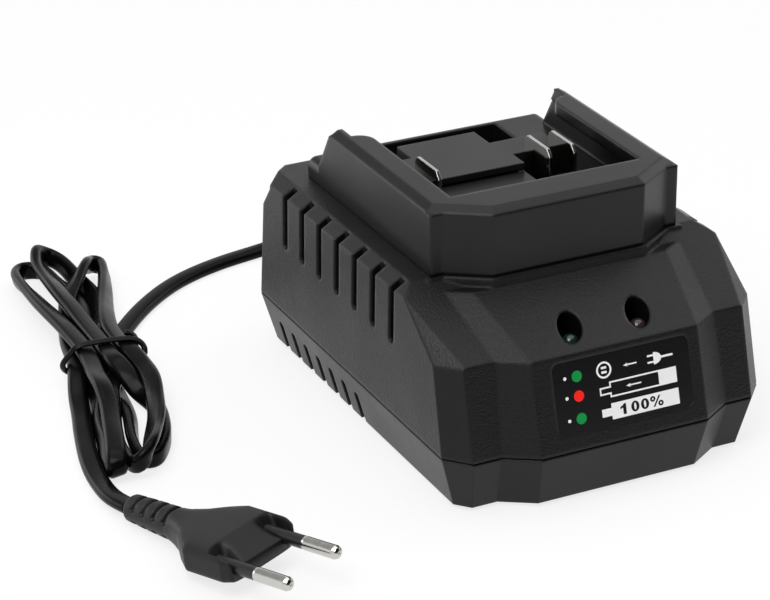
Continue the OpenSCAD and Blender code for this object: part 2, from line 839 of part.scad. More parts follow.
module secondary_side() {
    translate([board_half - 3, board_y0 + 15.5, board_top]) mirror([1, 0, 0]) children();
}

module primary_heatsink() {
    color("#9fa3a8") primary_side() heatsink();
}

module secondary_heatsink() {
    color("#9fa3a8") secondary_side() heatsink();
}

module power_transistor() {
    primary_side() power_package();
}

module output_diode() {
    secondary_side() power_package();
}

module signal_isolator() {
    color("#17181a") translate([-14, board_y0 + 25.5, board_top]) cube([7, 5, 3.5]);
}

module controller_chip() {
    color("#17181a") translate([-22, board_y0 + 13.5, board_top]) cube([10, 4, 1.6]);
}

module mains_wires() {
    color("#5a3a22") translate([-1.15, inner_y - 2.1, 0]) mains_wire();
    color("#2a58a8") translate([1.15, inner_y - 2.1, 0]) mains_wire();
}

// one insulated core: out of the cord's end, then down to its pad on the board
module mains_wire() {
    translate([0, 2.1, gland_z]) rotate([90, 0, 0]) cylinder(d = 1.8, h = 3.9);
    translate([0, -1.8, gland_z]) sphere(d = 1.8);
    translate([0, -1.8, board_top]) cylinder(d = 1.8, h = gland_z - board_top);
}

module output_wires() {
    beside = blade_t / 2 + 1.1;
    color("#1a1a1c") output_wire(neg_x - beside);
    color("#d6d6d2") output_wire(sig_x + beside);
    color("#b0302a") output_wire(pos_x + beside);
}

// an insulated core that stands on the board and lies against a blade's solder tab
module output_wire(x) {
    translate([x, blade_y0 + 8, board_top]) cylinder(d = 2.2, h = tab_z + 4 - board_top);
}

// a flat cord as one closed skin swept along its points
module flat_cord(path, w, t) {
    n = len(path);
    m = 10;
    function along(i) = path[min(i + 1, n - 1)] - path[max(i - 1, 0)];
    function side(d) = [d[1], -d[0], 0] / norm([d[1], -d[0], 0]);
    function lift(d, s) = cross(s, d) / norm(cross(s, d));
    pts = [for (i = [0:n - 1]) let (d = along(i), s = side(d), u = lift(d, s))
        for (k = [0:m - 1]) let (a = 360 * k / m)
            path[i] + s * (sign(cos(a)) * (w - t) / 2 + cos(a) * t / 2) + u * sin(a) * t / 2];
    skin = [for (i = [0:n - 2]) for (k = [0:m - 1])
        [i * m + k, i * m + (k + 1) % m, (i + 1) * m + (k + 1) % m, (i + 1) * m + k]];
    ends = [[for (k = [0:m - 1]) m - 1 - k], [for (k = [0:m - 1]) (n - 1) * m + k]];
    polyhedron(pts, concat(skin, ends), convexity = 8);
}

module power_cord_lead() {
    color("#161617") flat_cord(lead_path, cord_w, cord_t);
}

module cord_tail() {
    color("#161617") flat_cord(tail_path, cord_w, cord_t);
}

// the outer shape of the tied hank
module cord_hank() {
    color("#161617") difference() {
        translate([0, 0, 0.2]) linear_extrude(hank_h) polygon(hank_line);
        tie_band(60, hank_h + 4, 2);
    }
}

module cord_tie() {
    color("#0d0d0e") tie_band(24, hank_h, 0);
}

// a band round the hank, cut short at its sides and its top
module tie_band(w, h, sink) {
    translate(tie_at) rotate([0, 0, tie_az]) difference() {
        translate([-w / 2, -1.9, -sink]) cube([w, 3.8, h]);
        translate([-9, -3, 1]) cube([18, 6, hank_h - 2]);
    }
}

module at_plug() {
    translate(plug_at) rotate(plug_turn) children();
}

// the flat body: its plan, its side view and its cross-section, one through another
module plug_form() {
    intersection() {
        translate([0, 0, -8]) linear_extrude(16)
            polygon([[-0.5, -12.6], [-3, -plug_half], [-16.5, -plug_half], [-21, -10.8], [-25, -7.6],
                [-29.5, -5.6], [-33, -4.9], [-33, 4.9], [-29.5, 5.6], [-25, 7.6], [-21, 10.8],
                [-16.5, plug_half], [-3, plug_half], [-0.5, 12.6]]);
        rotate([90, 0, 0]) translate([0, 0, -20]) linear_extrude(40)
            polygon([[1, 0.3 - plug_h / 2], [-18, -plug_h / 2], [-34, -plug_h / 2], [-34, plug_h / 2],
                [-4, plug_h / 2], [1, plug_h / 2 - 0.9]]);
        rotate([90, 0, 90]) translate([0, 0, -45]) linear_extrude(50)
            polygon([[-plug_half, 0], [0.3 - plug_half, -3.4], [-12.2, -plug_h / 2], [12.2, -plug_h / 2],
                [plug_half - 0.3, -3.4], [plug_half, 0], [plug_half - 0.3, 3.4], [10.5, plug_h / 2],
                [-10.5, plug_h / 2], [0.3 - plug_half, 3.4]]);
    }
}

module plug_relief() {
    translate([relief_x, 0, 0]) rotate([0, 0, -3.4]) rotate([0, -90, 0]) rotate_extrude() polygon([[0, -6],
        [4.5, -6], [5, 0], [4.9, 2.6], [4.1, 3], [4.1, 4.6], [4.8, 5], [4.7, 7.2], [3.9, 7.6], [3.9, 9.2],
        [4.6, 9.6], [4.5, 11.8], [3.7, 12.2], [3.7, 13.8], [4.3, 14.2], [4.2, 16.4], [3.5, 16.8],
        [3.5, 18.2], [4, 18.6], [3.9, relief_l - 0.6], [3.3, relief_l], [0, relief_l]]);
}

module at_pins() {
    at_plug() for (s = [-1, 1]) translate([-pin_root, s * pin_gap / 2, 0]) rotate([0, 90, 0]) children();
}

module plug_body() {
    color("#161617") difference() {
        at_plug() union() {
            plug_form();
            plug_relief();
        }
        at_pins() cylinder(d = sleeve_d + 0.02, h = pin_root + 5);
        // scoops round the pins, open to the top, and the slope between them
        at_pins() translate([0, 0, pin_root - 6]) {
            cylinder(d = pin_d + 2 * scoop, h = 12);
            translate([-8, -pin_d / 2 - scoop, 0]) cube([8, pin_d + 2 * scoop, 12]);
        }
        at_plug() rotate([90, 0, 0]) translate([0, 0, -pin_gap / 2]) linear_extrude(pin_gap)
            polygon([[1, 0.2], [1, 8], [-8, 8], [-8, plug_h / 2]]);
    }
}

module plug_pins() {
    core = sleeve_d / 2 - sleeve_t;
    sleeve_end = pin_root + sleeve_l;
    tip = pin_root + pin_l;
    color("#c9ccd0") at_pins() rotate_extrude()
        polygon([[0, 0], [sleeve_d / 2, 0], [sleeve_d / 2, pin_seat], [core, pin_seat], [core, sleeve_end],
            [sleeve_d / 2, sleeve_end], [pin_d / 2, sleeve_end + pin_step], [pin_d / 2, tip - 1.4],
            [pin_d / 2 - 0.4, tip - 0.5], [pin_d / 2 - 1.2, tip], [0.5, tip], [0, tip - 0.6]]);
}

module pin_sleeves() {
    len = pin_root + sleeve_l - pin_seat;
    color("#131314") at_pins() translate([0, 0, pin_seat]) difference() {
        cylinder(d = sleeve_d, h = len);
        translate([0, 0, -1]) cylinder(d = sleeve_d - 2 * sleeve_t, h = len + 2);
    }
}

lower_housing();
upper_housing();
battery_dock();
terminal_deck();
negative_blade();
signal_blade();
positive_blade();
front_label();
rating_label();
rubber_feet();
case_screws();
dock_screws();
deck_screws();
led_green();
led_red();
led_spacers();
cord_gland();
cord_inner_end();
cord_clamp();
clamp_screws();
main_board();
board_screws();
transformer_core();
transformer_bobbin();
transformer_winding();
filter_choke();
filter_capacitor();
fuse();
bridge_rectifier();
bulk_capacitor();
output_capacitors();
primary_heatsink();
secondary_heatsink();
power_transistor();
output_diode();
signal_isolator();
controller_chip();
mains_wires();
output_wires();
power_cord_lead();
cord_hank();
cord_tie();
cord_tail();
plug_body();
plug_pins();
pin_sleeves();
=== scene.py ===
from math import cos, radians, sin

import bmesh
import bpy
import numpy as np
from mathutils import Matrix, Vector


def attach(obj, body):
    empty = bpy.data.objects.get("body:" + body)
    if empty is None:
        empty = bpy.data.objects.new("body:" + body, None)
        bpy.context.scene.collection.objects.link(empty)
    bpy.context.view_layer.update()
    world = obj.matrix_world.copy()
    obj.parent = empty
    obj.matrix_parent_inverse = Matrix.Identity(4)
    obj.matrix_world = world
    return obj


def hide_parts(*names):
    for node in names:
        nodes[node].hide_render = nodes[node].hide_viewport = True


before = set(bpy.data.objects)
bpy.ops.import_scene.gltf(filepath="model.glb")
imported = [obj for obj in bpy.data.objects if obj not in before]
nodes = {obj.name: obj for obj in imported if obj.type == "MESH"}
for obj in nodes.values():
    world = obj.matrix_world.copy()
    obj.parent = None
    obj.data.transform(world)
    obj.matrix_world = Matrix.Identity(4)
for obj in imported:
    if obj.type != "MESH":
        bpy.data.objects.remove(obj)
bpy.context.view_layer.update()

# ---- The table, the light and the camera
# The charger stands on a plain white sweep, under a wide soft ceiling and with softboxes to its front left,
# right and rear left. The camera looks down on it from the front left with a long lens.
MM = 0.001


def srgb(code):
    """A colour written as six hex digits, as the linear RGBA that shaders take."""
    values = [int(code[i:i + 2], 16) / 255 for i in (0, 2, 4)]
    return tuple(v / 12.92 if v <= 0.04045 else ((v + 0.055) / 1.055) ** 2.4 for v in values) + (1.0,)


def add(tree, kind, sockets=None, **settings):
    """Adds one node: settings go on the node itself, and each socket gets a value or a link. A link is
    given by the output that it comes from, or by a node, which stands for its first output."""
    made = tree.nodes.new("ShaderNode" + kind)
    for name, value in settings.items():
        setattr(made, name, value)
    for name, value in (sockets or {}).items():
        if isinstance(value, bpy.types.Node):
            value = value.outputs[0]
        if isinstance(value, bpy.types.NodeSocket):
            tree.links.new(value, made.inputs[name])
        else:
            made.inputs[name].default_value = value
    return made


def start_material(name):
    """An empty material, its node tree, and the Object coordinates that its patterns are drawn on."""
    made = bpy.data.materials.new(name)
    made.use_nodes = True
    made.node_tree.nodes.clear()
    return made, made.node_tree, add(made.node_tree, "TexCoord").outputs["Object"]


def ray_kinds(tree):
    """Two factors of a ray: whether it comes from the camera, and whether it was mirrored or let through."""
    kinds = add(tree, "LightPath").outputs
    mirrored = add(tree, "Math", {0: kinds["Is Glossy Ray"], 1: kinds["Is Transmission Ray"]},
                   operation="MAXIMUM")
    return kinds["Is Camera Ray"], mirrored


def mesh_piece(name, points, faces, material, smooth=True):
    """A mesh object at the origin from an array of points in millimetres and a list of faces."""
    mesh = bpy.data.meshes.new(name)
    mesh.from_pydata((np.asarray(points) * MM).tolist(), [], [tuple(f) for f in faces])
    mesh.materials.append(material)
    mesh.polygons.foreach_set("use_smooth", np.full(len(mesh.polygons), smooth))
    piece = bpy.data.objects.new(name, mesh)
    bpy.context.scene.collection.objects.link(piece)
    return piece


# White painted table: it takes the charger's shadow, and is otherwise seen as white, also in reflections.
SHADOW_SHARE, SPECK = 0.22, 2.5
table_white, tree, place = start_material("matt_white_table_paint")
speck = add(tree, "TexNoise", {"Vector": place, "Scale": 1000 / SPECK})
level = add(tree, "MapRange", {"Value": speck, "To Min": 0.88, "To Max": 0.94})
paint = add(tree, "BsdfDiffuse", {"Color": level})
glow = add(tree, "Emission", {"Color": (1, 1, 1, 1), "Strength": 1.0})
from_camera, mirrored = ray_kinds(tree)
either = add(tree, "Math", {0: from_camera, 1: mirrored}, operation="MAXIMUM")
white_part = add(tree, "Math", {0: either, 1: 1 - SHADOW_SHARE}, operation="MULTIPLY")
blend = add(tree, "MixShader", {0: white_part, 1: paint, 2: glow})
add(tree, "OutputMaterial", {"Surface": blend})
TABLE_HALF = 6000
corners = [(x * TABLE_HALF, y * TABLE_HALF, 0) for x, y in ((-1, -1), (1, -1), (1, 1), (-1, 1))]
table = mesh_piece("table_sweep", corners, [(0, 1, 2, 3)], table_white, smooth=False)

# The studio's air is white to the eye. In reflections it is white round the horizon, dimmer higher up, and
# dark at the end that the front faces.
AIR_LEVEL, DARK_END, DIM_ABOVE = 0.22, 0.02, 0.4
FRONT_END = Vector((0.4, -0.9, 0.15)).normalized()
scene = bpy.context.scene
scene.view_settings.view_transform = "Standard"
world = bpy.data.worlds.new("studio_air")
scene.world = world
world.use_nodes = True
tree = world.node_tree
tree.nodes.clear()
toward = add(tree, "TexCoord").outputs["Generated"]
to_front = add(tree, "VectorMath", {0: toward, 1: FRONT_END}, operation="DOT_PRODUCT")
dark_end = add(tree, "MapRange", {"Value": to_front.outputs["Value"], "From Min": 0.05, "From Max": 0.8,
                                  "To Min": 1.0, "To Max": DARK_END})
height = add(tree, "SeparateXYZ", {"Vector": toward})
dim_above = add(tree, "MapRange", {"Value": height.outputs["Z"], "From Min": 0.3, "From Max": 0.5,
                                   "To Min": 1.0, "To Max": DIM_ABOVE})
backdrop = add(tree, "Math", {0: dark_end, 1: dim_above}, operation="MULTIPLY")
from_camera, mirrored = ray_kinds(tree)
lit = add(tree, "MapRange", {"Value": mirrored, "To Min": AIR_LEVEL, "To Max": backdrop})
strength = add(tree, "Math", {0: from_camera, 1: lit}, operation="MAXIMUM")
air = add(tree, "Background", {"Color": (1, 1, 1, 1), "Strength": strength})
add(tree, "OutputWorld", {"Surface": air})

CHARGER_MIDDLE = Vector((0, 0, 0.04))


def softbox(name, at, size, power):
    """A soft rectangular lamp at a point, turned to face the charger; metres and watts."""
    lamp = bpy.data.lights.new(name, "AREA")
    lamp.shape = "RECTANGLE"
    lamp.size, lamp.size_y = size
    lamp.energy = power
    holder = bpy.data.objects.new(name, lamp)
    scene.collection.objects.link(holder)
    holder.location = at
    holder.rotation_euler = (CHARGER_MIDDLE - Vector(at)).to_track_quat("-Z", "Y").to_euler()


softbox("ceiling_softbox", (0.1, 0.1, 1.7), (2.2, 2.2), 20)
softbox("front_left_softbox", (-0.7, -0.5, 1.2), (0.8, 0.8), 11)
softbox("right_softbox", (1.3, 0.3, 0.7), (0.9, 0.9), 3)
softbox("rear_left_softbox", (-1.1, 1.5, 0.4), (1.4, 0.7), 5)

# the lens's focal length is given in pixels of a frame as wide as the sensor
CAMERA_AT = Vector((-375.2, -689.8, 401.3))
YAW, PITCH, ROLL = radians(25.921), radians(25.282), radians(-0.509)
FOCAL_PIXELS, FRAME_PIXELS, SENSOR = 2915.4, 770, 36
ahead = Vector((sin(YAW) * cos(PITCH), cos(YAW) * cos(PITCH), -sin(PITCH)))
across = Vector((cos(YAW), -sin(YAW), 0))
above = across.cross(ahead)
right = cos(ROLL) * across + sin(ROLL) * above
up = cos(ROLL) * above - sin(ROLL) * across
lens = bpy.data.cameras.new("camera")
lens.sensor_width = SENSOR
lens.lens = FOCAL_PIXELS * SENSOR / FRAME_PIXELS
lens.clip_end = 50
camera = bpy.data.objects.new("camera", lens)
scene.collection.objects.link(camera)
turn = Matrix((right, up, -ahead)).transposed().to_4x4()
camera.matrix_world = Matrix.Translation(CAMERA_AT * MM) @ turn
scene.camera = camera

# ---- The cord
# Flat two-core mains lead with a black PVC jacket, extruded in one run of 1.14 m.
# It leaves the gland at the rear, is folded into a hank with three loops at each end and ends in the plug.
CORD_W, CORD_T = 6.0, 3.3
# points of the centre line, and the direction of the cord's wide side at each
ROUTE = [
    (0, 98.5, 17, -1, 0.01, 0), (-0.5, 107.8, 15.4, -0.98, -0.19, -0.01),
    (-3.6, 115.4, 11.6, -0.8, -0.6, 0.01), (-10.1, 120.7, 6.9, -0.45, -0.89, 0.01),
    (-18.7, 123.4, 3.5, -0.15, -0.99, 0), (-27.5, 123.9, 2, 0.09, -1, 0),
    (-36.5, 122.7, 1.7, 0.26, -0.96, 0), (-45.4, 120.3, 1.7, 0.34, -0.94, 0),
    (-54.3, 116.9, 1.7, 0.38, -0.93, 0), (-62.8, 112.3, 1.7, 0.46, -0.89, 0),
    (-71, 106.2, 1.7, 0.58, -0.81, 0), (-78.3, 99.6, 1.7, 0.65, -0.76, 0),
    (-85.2, 92.2, 1.7, 0.73, -0.68, 0), (-90.8, 85.4, 1.7, 0.82, -0.57, 0.01),
    (-95.8, 78.5, 1.7, 0.86, -0.5, 0), (-101.1, 71, 1.7, 0.85, -0.52, 0),
    (-107, 63.9, 1.8, 0.82, -0.56, 0.07), (-110.9, 57.7, 2.1, 0.89, -0.36, 0.28),
    (-112.9, 48.5, 2.6, 0.7, -0.18, 0.69), (-115.9, 39, 2.9, 0.34, -0.12, 0.93),
    (-119.1, 29.8, 3, 0.2, -0.06, 0.98), (-121.3, 20.6, 3, 0.42, -0.12, 0.9),
    (-123.3, 11.3, 2.7, 0.74, -0.18, 0.65), (-124.3, 5.3, 2.7, 0.88, -0.14, 0.45),
    (-124.6, 3.5, 2.8, 0.92, -0.14, 0.37), (-124.9, 1.4, 2.9, 0.95, -0.14, 0.27),
    (-125.2, -0.3, 3.8, 0.97, -0.17, 0.19), (-125.4, -1, 5.2, 0.97, -0.21, 0.13),
    (-125.2, -0.3, 6.7, 0.96, -0.25, 0.09), (-124.7, 1.6, 7.6, 0.96, -0.29, 0.05),
    (-123.8, 4.3, 7.9, 0.95, -0.31, -0.01), (-121, 12.7, 8.3, 0.93, -0.3, -0.21),
    (-118.4, 21.3, 8.6, 0.91, -0.29, -0.3), (-115.9, 29.8, 9.5, 0.92, -0.23, -0.31),
    (-114.3, 38.5, 10.8, 0.96, -0.14, -0.23), (-112.7, 48.1, 10, 0.98, -0.16, -0.14),
    (-110.7, 57.8, 9.4, 0.99, -0.16, -0.05), (-109.5, 67.5, 9.2, 1, -0.07, -0.04),
    (-109.1, 77.2, 9, 0.99, 0.01, -0.11), (-109, 86.9, 8.7, 0.98, 0, -0.2),
    (-109, 96.6, 8.1, 0.95, -0.01, -0.31), (-108.9, 106.2, 7.3, 0.88, -0.04, -0.46),
    (-108.4, 115.8, 6.3, 0.76, -0.11, -0.64), (-107.8, 125.3, 5.2, 0.54, -0.12, -0.83),
    (-107, 134.7, 4.2, 0.25, -0.13, -0.96), (-105, 140.1, 3.5, 0.07, -0.1, -0.99),
    (-102.7, 142, 3.2, 0.03, -0.04, -1), (-100.1, 141.9, 3, 0.06, 0.02, -1),
    (-97.6, 140, 3, 0.18, 0.07, -0.98), (-95.7, 135.2, 2.9, 0.44, 0.08, -0.89),
    (-94.6, 126, 2.6, 0.78, 0.08, -0.62), (-94.1, 116.5, 2.2, 0.92, 0, -0.39),
    (-95.3, 107.2, 2.1, 0.95, -0.18, -0.27), (-97.5, 97.9, 2, 0.96, -0.22, -0.19),
    (-99.9, 88.8, 2.1, 0.95, -0.28, -0.11), (-103.1, 80.3, 3.5, 0.94, -0.33, -0.03),
    (-105.3, 71.2, 5.1, 0.99, -0.15, 0), (-105.7, 61.5, 5.4, 1, -0.04, 0.01),
    (-105.8, 55.8, 3.3, 1, -0.07, -0.01), (-106.3, 50.4, 2, 0.97, -0.21, -0.15),
    (-107.5, 41.6, 2.4, 0.83, -0.17, -0.52), (-108.3, 35.4, 2.7, 0.64, -0.15, -0.75),
    (-109.5, 30.1, 2.9, 0.47, -0.2, -0.86), (-112.3, 21.6, 3, 0.32, -0.09, -0.94),
    (-114.7, 13.3, 3, 0.2, -0.04, -0.98), (-115.3, 10.3, 3, 0.15, -0.03, -0.99),
    (-115.7, 7.7, 3, 0.11, -0.02, -0.99), (-115.6, 5.3, 3, 0.07, 0, -1), (-114.3, 3.8, 3, 0.04, 0.01, -1),
    (-112, 3.7, 3, 0.02, 0.02, -1), (-109.2, 6.2, 3, 0.01, 0.01, -1), (-104.8, 13.5, 3, -0.01, 0, -1),
    (-101.7, 22, 3, -0.08, 0.02, -1), (-100, 30.7, 3.1, -0.26, 0.03, -0.97),
    (-100.6, 38.6, 3.7, -0.57, -0.06, -0.82), (-102.2, 42.5, 5.4, -0.78, -0.12, -0.62),
    (-103.6, 46.2, 8.4, -0.91, -0.13, -0.39), (-104.5, 50.6, 10.2, -0.97, -0.05, -0.23),
    (-104.3, 59.1, 10, -0.99, 0.09, -0.06), (-103.4, 69.1, 9.4, -1, 0.06, 0.03),
    (-102.9, 78.8, 9.1, -0.99, 0.06, 0.1), (-102.5, 88.5, 9, -0.99, 0.04, 0.15),
    (-102.1, 97.9, 9.1, -0.97, 0.05, 0.22), (-101.9, 107.1, 9.1, -0.95, 0.05, 0.32),
    (-101.4, 116.6, 8.7, -0.88, 0.09, 0.46), (-100.7, 126.1, 8, -0.76, 0.08, 0.65),
    (-99.7, 135, 8.2, -0.5, 0.02, 0.87), (-98.7, 138.7, 8.7, -0.26, 0.12, 0.96),
    (-97.7, 141.2, 8.7, -0.05, 0.2, 0.98), (-96.2, 143.1, 7.7, 0.12, 0.23, 0.97),
    (-94.3, 144.1, 6.3, 0.23, 0.19, 0.95), (-92.3, 143.8, 5.2, 0.28, 0.13, 0.95),
    (-90.6, 141.6, 4.4, 0.31, 0.03, 0.95), (-89.2, 135.1, 3.2, 0.46, -0.04, 0.89),
    (-88.8, 126.3, 2.6, 0.75, 0.02, 0.66), (-88.3, 116.8, 2.3, 0.9, -0.04, 0.44),
    (-89.4, 107.3, 2.1, 0.94, -0.18, 0.27), (-91.6, 98, 2.7, 0.95, -0.27, 0.14),
    (-94.6, 89, 4.3, 0.94, -0.34, 0.05), (-97.7, 80, 5.4, 0.96, -0.27, 0.01),
    (-99.2, 70.6, 5.4, 0.99, -0.14, -0.01), (-99.9, 60.9, 5.9, 0.98, -0.2, -0.04),
    (-102.2, 54.7, 6.5, 0.9, -0.44, -0.07), (-106.4, 50, 6, 0.85, -0.53, -0.08),
    (-110.7, 42.2, 6.6, 0.89, -0.42, -0.15), (-113.1, 35.4, 6, 0.89, -0.25, -0.38),
    (-115.5, 27.4, 4, 0.66, -0.13, -0.74), (-117.6, 18.3, 3.4, 0.33, -0.09, -0.94),
    (-119.4, 9.3, 3.6, 0.18, -0.06, -0.98), (-119.8, 6.1, 3.8, 0.2, -0.05, -0.98),
    (-120.1, 3.4, 4.1, 0.25, -0.02, -0.97), (-120.2, 0.7, 4.4, 0.3, 0.05, -0.95),
    (-119.3, -1.4, 5.3, 0.29, 0.14, -0.95), (-117.7, -1.9, 6.8, 0.18, 0.23, -0.96),
    (-116.1, -1.1, 8, -0.05, 0.28, -0.96), (-114.7, 0.7, 8.5, -0.33, 0.26, -0.91),
    (-112.6, 4.5, 8.4, -0.61, 0.23, -0.76), (-108.4, 12.9, 7.3, -0.69, 0.36, -0.63),
    (-104.2, 21.6, 7.3, -0.74, 0.33, -0.58), (-101.1, 30.5, 7.9, -0.81, 0.26, -0.53),
    (-98.5, 39.7, 9.1, -0.89, 0.2, -0.42), (-97.6, 48.6, 9.3, -0.97, -0.02, -0.26),
    (-97.5, 58.2, 9.8, -1, -0.04, -0.05), (-97.5, 68, 9.1, -0.98, 0.04, 0.17),
    (-96.8, 77.5, 8.8, -0.92, 0.16, 0.36), (-94.5, 86.6, 8.3, -0.82, 0.31, 0.49),
    (-91.4, 95.7, 7.1, -0.71, 0.32, 0.63), (-88.1, 104.7, 6.2, -0.6, 0.27, 0.75),
    (-84.8, 113.5, 5.6, -0.46, 0.24, 0.86), (-81.7, 122.1, 4.9, -0.27, 0.18, 0.95),
    (-80.6, 125.3, 4.7, -0.19, 0.15, 0.97), (-80, 127.8, 4.6, -0.11, 0.12, 0.99),
    (-79.5, 130.2, 4.5, -0.04, 0.11, 0.99), (-79.6, 132.4, 4.5, 0.04, 0.11, 0.99),
    (-81.2, 133.5, 4.8, 0.12, 0.12, 0.99), (-83.2, 132.1, 5.5, 0.22, 0.12, 0.97),
    (-85.6, 128.4, 7.3, 0.37, 0.01, 0.93), (-88, 125.1, 7.9, 0.44, -0.22, 0.87),
    (-90.7, 121.5, 7.5, 0.53, -0.42, 0.73), (-94.5, 116.3, 6.6, 0.69, -0.53, 0.49),
    (-98.1, 111.3, 5.5, 0.81, -0.52, 0.27), (-101.1, 104.2, 5, 0.93, -0.35, 0.1),
    (-104.3, 95.4, 4.8, 0.94, -0.35, 0.02), (-107.5, 86.4, 4.7, 0.96, -0.29, 0),
    (-110.1, 76.9, 5.1, 0.98, -0.19, 0), (-112.1, 67.3, 5.3, 0.98, -0.2, 0),
    (-115.2, 58.1, 4.9, 0.93, -0.37, 0), (-118.3, 49.4, 3.2, 0.95, -0.31, 0.01),
    (-120.7, 40.9, 2.1, 0.95, -0.32, 0), (-123.4, 32.3, 1.9, 0.95, -0.31, 0),
    (-126, 23.4, 1.8, 0.95, -0.3, 0), (-128.4, 14.4, 1.8, 0.97, -0.24, 0),
    (-130.2, 5.2, 1.8, 0.99, -0.15, 0), (-131.2, -4.2, 2.1, 1, -0.07, 0), (-131.3, -13.5, 3, 1, 0.06, 0.01),
    (-129.5, -22.6, 4.1, 0.96, 0.28, 0),
]


def natural_spline(points, steps):
    """A natural cubic through points, by chord length: second derivatives from one linear system, then the
    cubic between each pair, read at a number of even steps. Returns places, headings and their parameter."""
    points = np.asarray(points, float)
    t = np.r_[0, np.cumsum(np.linalg.norm(np.diff(points[:, :3], axis=0), axis=1))]
    h = np.diff(t)[:, None]
    n = len(t)
    system = np.eye(n)
    i = np.arange(1, n - 1)
    system[i, i - 1] = h[:-1, 0]
    system[i, i] = 2 * (h[:-1, 0] + h[1:, 0])
    system[i, i + 1] = h[1:, 0]
    slope = np.diff(points, axis=0) / h
    load = np.zeros_like(points)
    load[1:-1] = 6 * np.diff(slope, axis=0)
    second = np.linalg.solve(system, load)
    at = np.linspace(0, t[-1], steps)
    k = np.clip(np.searchsorted(t, at, side="right") - 1, 0, n - 2)
    a, b = (t[k + 1] - at)[:, None], (at - t[k])[:, None]
    w = h[k]
    place = (second[k] * a**3 + second[k + 1] * b**3) / (6 * w)
    place += (points[k] / w - second[k] * w / 6) * a + (points[k + 1] / w - second[k + 1] * w / 6) * b
    heading = (second[k + 1] * b**2 - second[k] * a**2) / (2 * w)
    heading += (points[k + 1] - points[k]) / w - (second[k + 1] - second[k]) * w / 6
    return place, heading / np.linalg.norm(heading[:, :3], axis=1)[:, None], at


def stadium(width, thickness, points):
    """A section with two flat sides and two round ends, by angle: a circle pulled apart along its width."""
    a = 2 * np.pi * (np.arange(points) + 0.5) / points
    r = thickness / 2
    return np.column_stack([r * np.cos(a) + np.sign(np.cos(a)) * (width / 2 - r), r * np.sin(a)])


def sweep(place, heading, side, section):
    """Carries a closed section along a line: each ring is the section in the plane square to the heading,
    its first axis on the given side direction."""
    side = side - np.sum(side * heading, axis=1)[:, None] * heading
    side /= np.linalg.norm(side, axis=1)[:, None]
    top = np.cross(heading, side)
    rings = place[:, None, :] + section[None, :, :1] * side[:, None, :]
    return rings + section[None, :, 1:] * top[:, None, :]


def grid_faces(rows, columns):
    """Quads of a grid of points, row after row, where each row closes on itself."""
    r, c = np.meshgrid(np.arange(rows - 1), np.arange(columns), indexing="ij")
    start, c2 = r * columns, (c + 1) % columns
    quads = np.stack([start + c, start + c2, start + columns + c2, start + columns + c], axis=-1)
    return quads.reshape(-1, 4)


def capped(rings):
    """Points and faces of a tube made of rings, with a fan of triangles on each end."""
    rows, columns = rings.shape[:2]
    points = np.vstack([rings.reshape(-1, 3), rings[[0, -1]].mean(axis=1)])
    first, last = rows * columns, rows * columns + 1
    i = np.arange(columns)
    j = (i + 1) % columns
    faces = list(grid_faces(rows, columns))
    faces += list(zip(np.full(columns, first), j, i))
    faces += list(zip(np.full(columns, last), (rows - 1) * columns + i, (rows - 1) * columns + j))
    return points, faces


def run_map(piece, along, columns):
    """A UV map for a tube of rings: U is the run in metres, V the way round from 0 to 1."""
    index = np.zeros(len(piece.data.loops), np.int32)
    piece.data.loops.foreach_get("vertex_index", index)
    ring = np.minimum(index // columns, len(along) - 1)
    u = along[ring] * MM
    v = (index % columns) / columns
    layer = piece.data.uv_layers.new(name="run")
    layer.data.foreach_set("uv", np.column_stack([u, v]).ravel())


def end_material(tree, colour, rough, height, relief, depth, sockets=None, **bump_sockets):
    """Ends a material: a bump from a height, of a strength and of a depth in millimetres, and a Principled
    shader with a colour, a roughness and any other sockets."""
    bump = add(tree, "Bump", {"Height": height, "Strength": relief, "Distance": depth * MM, **bump_sockets})
    shade = add(tree, "BsdfPrincipled", {"Base Color": colour, "Roughness": rough, "Normal": bump,
                                         **(sockets or {})})
    add(tree, "OutputMaterial", {"Surface": shade})


# Black PVC, extruded: satin, with a 1 mm orange peel, dull 8 mm scuffs, and faint lines along the run,
# 0.23 mm apart and 40 mm long.
LINES_ROUND, LINE_RUN = 68, 0.04
jacket, tree, place = start_material("extruded_black_pvc")
lines = add(tree, "Mapping", {"Vector": place.node.outputs["UV"], "Scale": (1 / LINE_RUN, LINES_ROUND, 1.0)})
drawn = add(tree, "TexNoise", {"Vector": lines, "Scale": 1.0, "Detail": 2.0})
peel = add(tree, "TexNoise", {"Vector": place, "Scale": 900.0, "Detail": 3.0})
scuff = add(tree, "TexNoise", {"Vector": place, "Scale": 120.0, "Detail": 5.0})
dull = add(tree, "MapRange", {"Value": scuff, "From Min": 0.35, "From Max": 0.7, "To Min": 0.2,
                              "To Max": 0.3})
tone = add(tree, "ValToRGB", {"Fac": scuff})
tone.color_ramp.elements[0].color = srgb("060607")
tone.color_ramp.elements[1].color = srgb("0b0b0c")
both = add(tree, "Math", {0: drawn, 1: peel}, operation="ADD")
end_material(tree, tone, dull, both, 0.25, 0.12, {"IOR": 1.47, "Specular IOR Level": 0.1})

RINGS, RING_POINTS = 1050, 24
cord_place, cord_heading, cord_run = natural_spline(ROUTE, RINGS)
cord_side = cord_place[:, 3:]
cord_place, cord_heading = cord_place[:, :3], cord_heading[:, :3]
rings = sweep(cord_place, cord_heading, cord_side, stadium(CORD_W, CORD_T, RING_POINTS))
